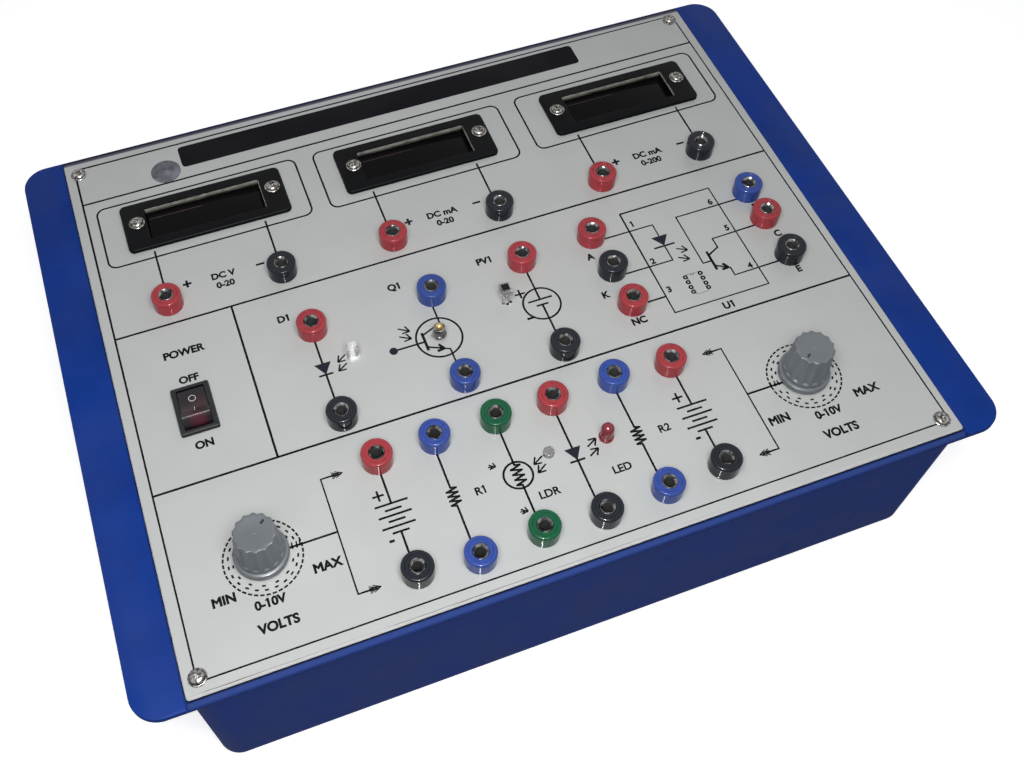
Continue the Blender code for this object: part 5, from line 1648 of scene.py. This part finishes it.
def ink_strokes(name, strokes, width):
    """Printed lines through points in millimetres on the panel, as one flat piece."""
    deselect_all()
    bpy.ops.curve.primitive_bezier_curve_add(location=(0.0, 0.0, 0.0))
    piece = bpy.context.object
    piece.name = name
    piece.data.dimensions = "3D"
    piece.data.bevel_depth = width / 2
    piece.data.bevel_resolution = 1
    piece.data.use_fill_caps = True
    piece.data.splines.clear()
    for points in strokes:
        spline = piece.data.splines.new("POLY")
        spline.points.add(len(points) - 1)
        for point, (x, y) in zip(spline.points, points):
            point.co = (x * MM, y * MM, panel_top, 1.0)
    bpy.ops.object.convert(target="MESH")
    select_whole_mesh()
    resize((1.0, 1.0, 2 * INK_HEIGHT / width), (0.0, 0.0, panel_top))
    deselect_all()
    return finish_piece(piece, "case", ink_black, smooth=0.0)


def rounded_outline(left, right, bottom, top, radius, rise=0.0):
    """A closed outline with rounded corners that climbs by a rise from left to right."""
    points = []
    for x, y, start in (
        (right - radius, top - radius, 0),
        (left + radius, top - radius, 90),
        (left + radius, bottom + radius, 180),
        (right - radius, bottom + radius, 270),
    ):
        points += arc_points(x, y, radius, start, start + 90, 8)
    points.append(points[0])
    return [(x, y + rise * ((x - left) / (right - left) - 0.5)) for x, y in points]


def straight_strokes(points, overlap=0.3):
    """Separate straight strokes between points, each drawn on a little at both ends for full corners."""
    strokes = []
    for start, end in zip(points, points[1:]):
        length = math.dist(start, end)
        along = ((end[0] - start[0]) * overlap / length, (end[1] - start[1]) * overlap / length)
        strokes.append([(start[0] - along[0], start[1] - along[1]), (end[0] + along[0], end[1] + along[1])])
    return strokes


def arrow_strokes(tail_point, tip, head=3.2, spread=34.0):
    """A shaft with an open head."""
    turn = math.atan2(tail_point[1] - tip[1], tail_point[0] - tip[0])
    barbs = []
    for side in (-1, 1):
        angle = turn + side * math.radians(spread)
        barbs.append((tip[0] + head * math.cos(angle), tip[1] + head * math.sin(angle)))
    return [[tail_point, tip], [barbs[0], tip], [tip, barbs[1]]]


def plus_strokes(x, y, size=3.6):
    """A plus sign."""
    return [[(x - size / 2, y), (x + size / 2, y)], [(x, y - size / 2), (x, y + size / 2)]]


def zigzag(x, top, bottom, reach, turns=8):
    """The zigzag of a resistor's symbol between two heights."""
    step = (top - bottom) / turns
    points = [(x, top)]
    for index in range(turns):
        side = 1 if index % 2 == 0 else -1
        points.append((x + side * reach, top - (index + 0.5) * step))
    points.append((x, bottom))
    return straight_strokes(points)


ink_strokes(
    "printed_frame",
    [
        [(-145.8, 120.2), (145.8, 121.6), (146.7, -119.9), (-145.2, -120.0), (-145.8, 120.2)],
        [(-145.8, 99.0), (145.8, 101.6)],
        [(-145.5, 25.2), (146.1, 27.1)],
        [(-145.4, -47.8), (146.4, -46.7)],
        [(-98.2, 25.5), (-98.2, -47.6)],
    ],
    FRAME_WIDTH,
)
ink_strokes(
    "printed_meter_outlines",
    [
        rounded_outline(-141.0, -53.3, 60.9, 94.2, 3.6, 0.3),
        rounded_outline(-45.0, 43.0, 61.0, 94.5, 3.6, 0.5),
        rounded_outline(51.7, 141.3, 62.4, 95.8, 3.6, 1.0),
    ],
    FRAME_WIDTH * 0.9,
)
METER_WIRES = ((-121.7, 64.0), (-74.0, 64.0), (-25.6, 64.0), (22.3, 64.0), (71.4, 64.5), (120.5, 65.0))
ink_strokes("printed_meter_wires", [[(x, top), (x, 35.0)] for x, top in METER_WIRES], WIRE_WIDTH)

# Device symbols of the middle row
LIGHT_ARROWS = (
    ((-61.5, -12.6), (-65.2, -15.2)), ((-62.0, -16.7), (-66.0, -19.2)),
    ((-38.2, -8.2), (-34.0, -10.9)), ((-38.8, -12.1), (-34.4, -14.5)),
    ((84.7, -9.5), (89.0, -11.8)), ((83.5, -14.1), (87.8, -16.3)),
    ((-5.3, -80.9), (-9.5, -83.3)), ((-5.3, -84.5), (-9.3, -87.0)),
    ((12.2, -83.3), (16.5, -80.9)), ((11.6, -87.2), (15.8, -85.0)),
)
ink_strokes(
    "printed_light_arrows",
    [stroke for start, tip in LIGHT_ARROWS for stroke in arrow_strokes(start, tip)],
    WIRE_WIDTH * 0.8,
)
ink_strokes(
    "printed_sensor_wiring",
    [
        [(-71.1, 2.7), (-71.1, -40.0)],
        [(-74.0, -19.1), (-68.2, -19.1)],
        arc_points(-23.8, -17.6, 9.3),
        [(-43.0, -17.8), (-29.8, -17.8)],
        [(-29.8, -14.6), (-21.4, -11.2), (-21.4, 2.7)],
        [(-29.8, -20.4), (-21.4, -24.3), (-21.4, -40.0)],
        arc_points(21.0, -16.3, 7.7),
        [(21.0, 6.0), (21.0, -14.2)],
        [(21.0, -16.9), (21.0, -40.0)],
        [(15.8, -14.2), (26.2, -14.2)],
        [(18.4, -16.9), (23.6, -16.9)],
    ],
    WIRE_WIDTH,
)
ink_strokes(
    "printed_transistor_bars",
    [
        [(-29.8, -13.4), (-29.8, -22.1)],
        [(96.0, -15.3), (96.0, -25.4)],
        *arrow_strokes((-27.0, -21.7), (-23.6, -23.3), 3.0, 32.0)[1:],
        *arrow_strokes((98.0, -24.2), (101.0, -25.8), 3.0, 32.0)[1:],
    ],
    BOLD_WIDTH,
)
ink_strokes(
    "printed_coupler_wiring",
    [
        [(70.0, 15.5), (112.6, 15.9), (112.8, -39.0), (70.0, -39.1), (70.0, 15.5)],
        [(56.0, 5.5), (80.8, 5.5), (80.8, -14.5), (56.0, -14.4)],
        [(76.0, -6.5), (85.5, -6.5)],
        [(57.0, -30.5), (70.0, -30.5)],
        [(124.0, 6.0), (92.0, 5.8), (92.0, -20.4), (96.0, -20.4)],
        [(96.0, -17.4), (101.5, -14.8), (101.5, -10.0), (124.0, -9.5)],
        [(96.0, -23.1), (101.7, -26.2), (101.7, -30.3), (124.0, -30.0)],
    ],
    WIRE_WIDTH,
)
DIP_LEFT = 82.5
DIP_RIGHT = 87.8
DIP_LOOP = 0.75
DIP_ROWS = (-24.5, -27.1, -29.8, -32.2)
ink_strokes(
    "printed_package_drawing",
    [
        [(DIP_LEFT, -23.5), (DIP_RIGHT, -23.5), (DIP_RIGHT, -33.7), (DIP_LEFT, -33.7), (DIP_LEFT, -23.5)],
        arc_points(85.15, -23.5, 0.8, 180, 360, 8),
    ],
    0.22 * MM,
)
ink_strokes(
    "printed_package_pins",
    [
        stroke
        for y in DIP_ROWS
        for stroke in (
            arc_points(DIP_LEFT - DIP_LOOP, y, DIP_LOOP, steps=10),
            arc_points(DIP_RIGHT + DIP_LOOP, y, DIP_LOOP, steps=10),
        )
    ],
    0.75 * MM,
)

# Bottom row: two batteries, two resistors, the light-dependent resistor and the LED
WIRE_TOP = -61.2
WIRE_BOTTOM = -109.4
BATTERY_ROWS = ((-80.0, 6.3), (-82.4, 3.2), (-84.7, 6.3), (-86.9, 3.2), (-89.2, 6.3), (-91.6, 3.2))
row_strokes = []
for x in (-64.3, 57.2):
    row_strokes += [[(x, WIRE_TOP), (x, BATTERY_ROWS[0][0])], [(x, BATTERY_ROWS[-1][0]), (x, WIRE_BOTTOM)]]
    row_strokes += [[(x - reach, y), (x + reach, y)] for y, reach in BATTERY_ROWS]
for x, top, bottom in ((-42.0, -81.6, -89.1), (-16.5, -80.9, -89.6), (32.2, -81.6, -89.1)):
    row_strokes += [[(x, WIRE_TOP), (x, top)], *zigzag(x, top, bottom, 2.0), [(x, bottom), (x, WIRE_BOTTOM)]]
row_strokes += [
    arc_points(-16.6, -85.3, 5.5),
    [(6.5, WIRE_TOP), (6.5, WIRE_BOTTOM)],
    [(3.5, -87.3), (9.5, -87.3)],
]
ink_strokes("printed_bottom_wiring", row_strokes, WIRE_WIDTH)

# Knob surrounds: dashed rings and the lines to the supply sockets
RINGS = ((14.2, 41, 1.55), (12.4, 22, 1.4), (10.8, 14, 1.3))
ring_strokes = []
for x, y, growth in ((-113.4, -84.3, 1.0), (104.3, -83.3, 1.02)):
    for radius, count, length in RINGS:
        half_turn = math.degrees(length / radius / 2)
        for dash in range(count):
            middle = 360.0 * dash / count
            ring_strokes.append(arc_points(x, y, radius * growth, middle - half_turn, middle + half_turn, 3))
ink_strokes("printed_knob_rings", ring_strokes, DASH_WIDTH)
TICK_RISE = 1.7
ticks = [(x, -84.1) for x in (-102.7, -101.0, -99.8)] + [(x, -83.3) for x in (90.0, 91.8, 93.0)]
ink_strokes("printed_knob_ticks", [[(x, y), (x + 0.2, y + TICK_RISE)] for x, y in ticks], DASH_WIDTH * 0.8)
knob_strokes = [
    [(-106.0, -84.1), (-85.8, -84.1)],
    [(-80.0, -62.0), (-85.8, -62.0), (-85.8, -109.0), (-80.0, -109.0)],
    [(97.0, -83.3), (79.5, -83.3)],
    [(74.0, -61.0), (79.5, -61.0), (79.5, -108.5), (74.0, -108.5)],
]
ink_strokes("printed_knob_wires", knob_strokes, WIRE_WIDTH)
head_strokes = []
for x, y, side in ((-77.4, -62.0, 1), (-77.4, -109.0, 1), (71.3, -61.0, -1), (71.3, -108.5, -1)):
    for back in (0.0, 1.4):
        tip_x = x - side * back
        for reach in (-1.35, -0.65, 0.65, 1.35):
            head_strokes.append([(tip_x - side * 2.8, y + reach), (tip_x, y)])
ink_strokes("printed_arrow_heads", head_strokes, WIRE_WIDTH * 0.45)
stray_strokes = []
for x, y in ((-23.2, -79.2), (-18.5, -100.0)):
    stray_strokes += arrow_strokes((x - 2.4, y + 1.4), (x, y), 2.0, 40.0)
    stray_strokes += arrow_strokes((x - 2.9, y + 0.6), (x - 1.1, y + 0.2), 1.6, 40.0)
ink_strokes("printed_stray_marks", stray_strokes, WIRE_WIDTH * 0.65)


def ink_patch(name, sides, x, y, reach_x, reach_y, turn, ink):
    """A solid printed shape with a number of sides, in millimetres on the panel."""
    deselect_all()
    bpy.ops.mesh.primitive_circle_add(vertices=sides, radius=1.0, fill_type="NGON", rotation=(0.0, 0.0, turn))
    piece = bpy.context.object
    piece.name = name
    settle()
    piece.scale = (reach_x * MM, reach_y * MM, 1.0)
    piece.location = (x * MM, y * MM, panel_top)
    settle()
    select_whole_mesh()
    bpy.ops.mesh.extrude_region_move(TRANSFORM_OT_translate={"value": (0.0, 0.0, INK_HEIGHT)})
    bpy.ops.mesh.select_all(action="SELECT")
    bpy.ops.mesh.normals_make_consistent(inside=False)
    deselect_all()
    return finish_piece(piece, "case", ink, smooth=0.0)


DIODES = (
    ("printed_photodiode_mark", -71.1, -13.6, 3.4),
    ("printed_coupler_diode", 80.8, -1.0, 3.7),
    ("printed_led_mark", 6.5, -81.7, 3.3),
)
for name, x, top, half in DIODES:
    ink_patch(name, 3, x, top - 1.8, half / math.cos(math.radians(30)), 3.6, math.pi, ink_thin)
ink_patch("printed_base_terminal", 32, -43.0, -17.8, 1.7, 1.7, 0.0, ink_thin)

TITLE_SIZE = (191.2, 12.35)
TITLE_PLACE = (-4.9, 112.68)
TITLE_TURN = math.radians(0.374)
title = block(
    "printed_title_bar",
    (-TITLE_SIZE[0] / 2 * MM, -TITLE_SIZE[1] / 2 * MM, -INK_HEIGHT),
    (TITLE_SIZE[0] / 2 * MM, TITLE_SIZE[1] / 2 * MM, INK_HEIGHT),
    corner=1.8 * MM, corner_steps=6,
)
title.rotation_euler.z = TITLE_TURN
title.location = (TITLE_PLACE[0] * MM, TITLE_PLACE[1] * MM, panel_top)
finish_piece(title, "case", ink_black, smooth=0.0)

STICKER_RADIUS = 6.5 * MM
STICKER_EDGE = 0.1 * MM
sticker_silver = moulded(
    "blank_sticker", (0.150, 0.158, 0.185), 0.4, grain=0.05 * MM, depth=0.004 * MM, dust=0.25, patchy=0.4
)
sticker = turned(
    "blank_round_sticker",
    [
        (0.0, panel_top - INK_HEIGHT),
        (STICKER_RADIUS, panel_top - INK_HEIGHT),
        (STICKER_RADIUS, panel_top + 0.08 * MM),
        (STICKER_RADIUS - STICKER_EDGE, panel_top + 0.12 * MM),
        (0.0, panel_top + 0.12 * MM),
    ],
    (-108.0 * MM, 106.1 * MM),
    steps=48,
)
finish_piece(sticker, "case", sticker_silver)

CAPITAL_SHARE = 0.73


def ink_label(words, x, y, height, bold=0.065):
    """A short printed mark, centred on a place in millimetres. The height is that of a capital."""
    deselect_all()
    bpy.ops.object.text_add(location=(x * MM, (y - height / 2) * MM, panel_top))
    piece = bpy.context.object
    piece.data.body = words
    piece.data.align_x = "CENTER"
    piece.data.size = height * MM / CAPITAL_SHARE
    piece.data.bevel_depth = bold * height * MM
    piece.data.bevel_resolution = 0
    bpy.ops.object.convert(target="MESH")
    settle()
    select_whole_mesh()
    flatten = INK_HEIGHT / (bold * height * MM)
    resize((1.0, 1.0, flatten), (0.0, 0.0, panel_top))
    deselect_all()
    return piece


LABELS = (
    ("DC V", -97.6, 42.5, 3.1), ("0-20", -97.6, 37.6, 3.0),
    ("DC mA", -1.6, 42.7, 3.1), ("0-20", -1.6, 37.8, 3.0),
    ("DC mA", 96.0, 43.8, 3.1), ("0-200", 96.0, 39.0, 3.0),
    ("POWER", -121.2, 10.6, 3.4), ("OFF", -121.9, -2.3, 3.2), ("ON", -122.5, -32.5, 3.3),
    ("D1", -79.8, 12.4, 3.2), ("Q1", -33.0, 12.2, 3.2), ("PV1", 6.5, 12.2, 3.2),
    ("A", 49.0, -1.1, 3.2), ("K", 47.0, -21.2, 3.2), ("NC", 54.7, -37.5, 3.2),
    ("B", 127.0, -0.2, 3.2), ("C", 129.0, -16.6, 3.2), ("E", 128.2, -36.3, 3.2), ("U1", 92.5, -42.8, 3.3),
    ("1", 72.8, 8.9, 2.9), ("2", 72.7, -12.1, 2.9), ("3", 72.8, -27.6, 2.9),
    ("6", 109.7, 8.7, 2.9), ("5", 110.0, -6.6, 2.9), ("4", 109.9, -27.9, 2.9),
    ("R1", -31.7, -86.2, 3.2, 0.045), ("LDR", -8.5, -95.7, 3.2, 0.045),
    ("LED", 20.8, -95.5, 3.2, 0.045), ("R2", 42.8, -85.6, 3.2, 0.045),
    ("MIN", -130.2, -95.1, 3.5), ("MAX", -92.8, -94.8, 3.5), ("0-10V", -115.2, -101.1, 3.3),
    ("VOLTS", -114.3, -109.7, 3.5),
    ("MIN", 85.8, -97.2, 3.5), ("MAX", 123.7, -97.0, 3.5), ("0-10V", 105.0, -100.8, 3.3),
    ("VOLTS", 105.7, -109.4, 3.5),
)
labels = [ink_label(*label) for label in LABELS]
FLAG_TOP = 0.46
FLAG_SET_BACK = 0.06
FLAG_REACH = 0.28
FLAG_DROP = 0.22


def one_flags(words, x, y, height):
    """The slanting flag of each figure one in a mark, whose lettering draws it as a plain bar."""
    deselect_all()
    bpy.ops.object.text_add()
    gauge = bpy.context.object
    gauge.data.size = height / CAPITAL_SHARE
    gauge.data.align_x = "CENTER"
    widths = []
    for body in (*[words[: index + 1] for index, sign in enumerate(words) if sign == "1"], words):
        gauge.data.body = body
        bpy.context.view_layer.update()
        widths.append(gauge.dimensions.x)
    left = x + gauge.bound_box[0][0]
    bpy.data.objects.remove(gauge)
    top = y + FLAG_TOP * height
    bars = [left + width - FLAG_SET_BACK * height for width in widths[:-1]]
    return [[(bar, top), (bar - FLAG_REACH * height, top - FLAG_DROP * height)] for bar in bars]


flags = []
for label in LABELS:
    if "1" in label[0]:
        flags += one_flags(*label[:4])
ink_strokes("printed_figure_flags", flags, DASH_WIDTH * 0.75)
finish_piece(join_pieces(labels, "printed_labels"), "case", ink_black, smooth=0.0)
SIGNS = ((-112.6, 42.6), (-16.6, 42.6), (80.8, 43.6))
THIN_SIGNS = ((14.2, -9.0), (-68.0, -75.8), (53.2, -75.5))
DASHES = (
    (-81.8, 42.4, 3.6), (14.4, 42.8, 3.6), (112.6, 44.0, 3.6),
    (14.2, -21.6, 3.4), (-68.6, -94.3, 2.0), (53.0, -94.2, 2.0),
)
sign_strokes = [stroke for x, y in SIGNS for stroke in plus_strokes(x, y)]
sign_strokes += [[(x - length / 2, y), (x + length / 2, y)] for x, y, length in DASHES]
ink_strokes("printed_signs", sign_strokes, BOLD_WIDTH * 0.9)
thin_strokes = [stroke for x, y in THIN_SIGNS for stroke in plus_strokes(x, y, 4.4)]
ink_strokes("printed_thin_signs", thin_strokes, WIRE_WIDTH)
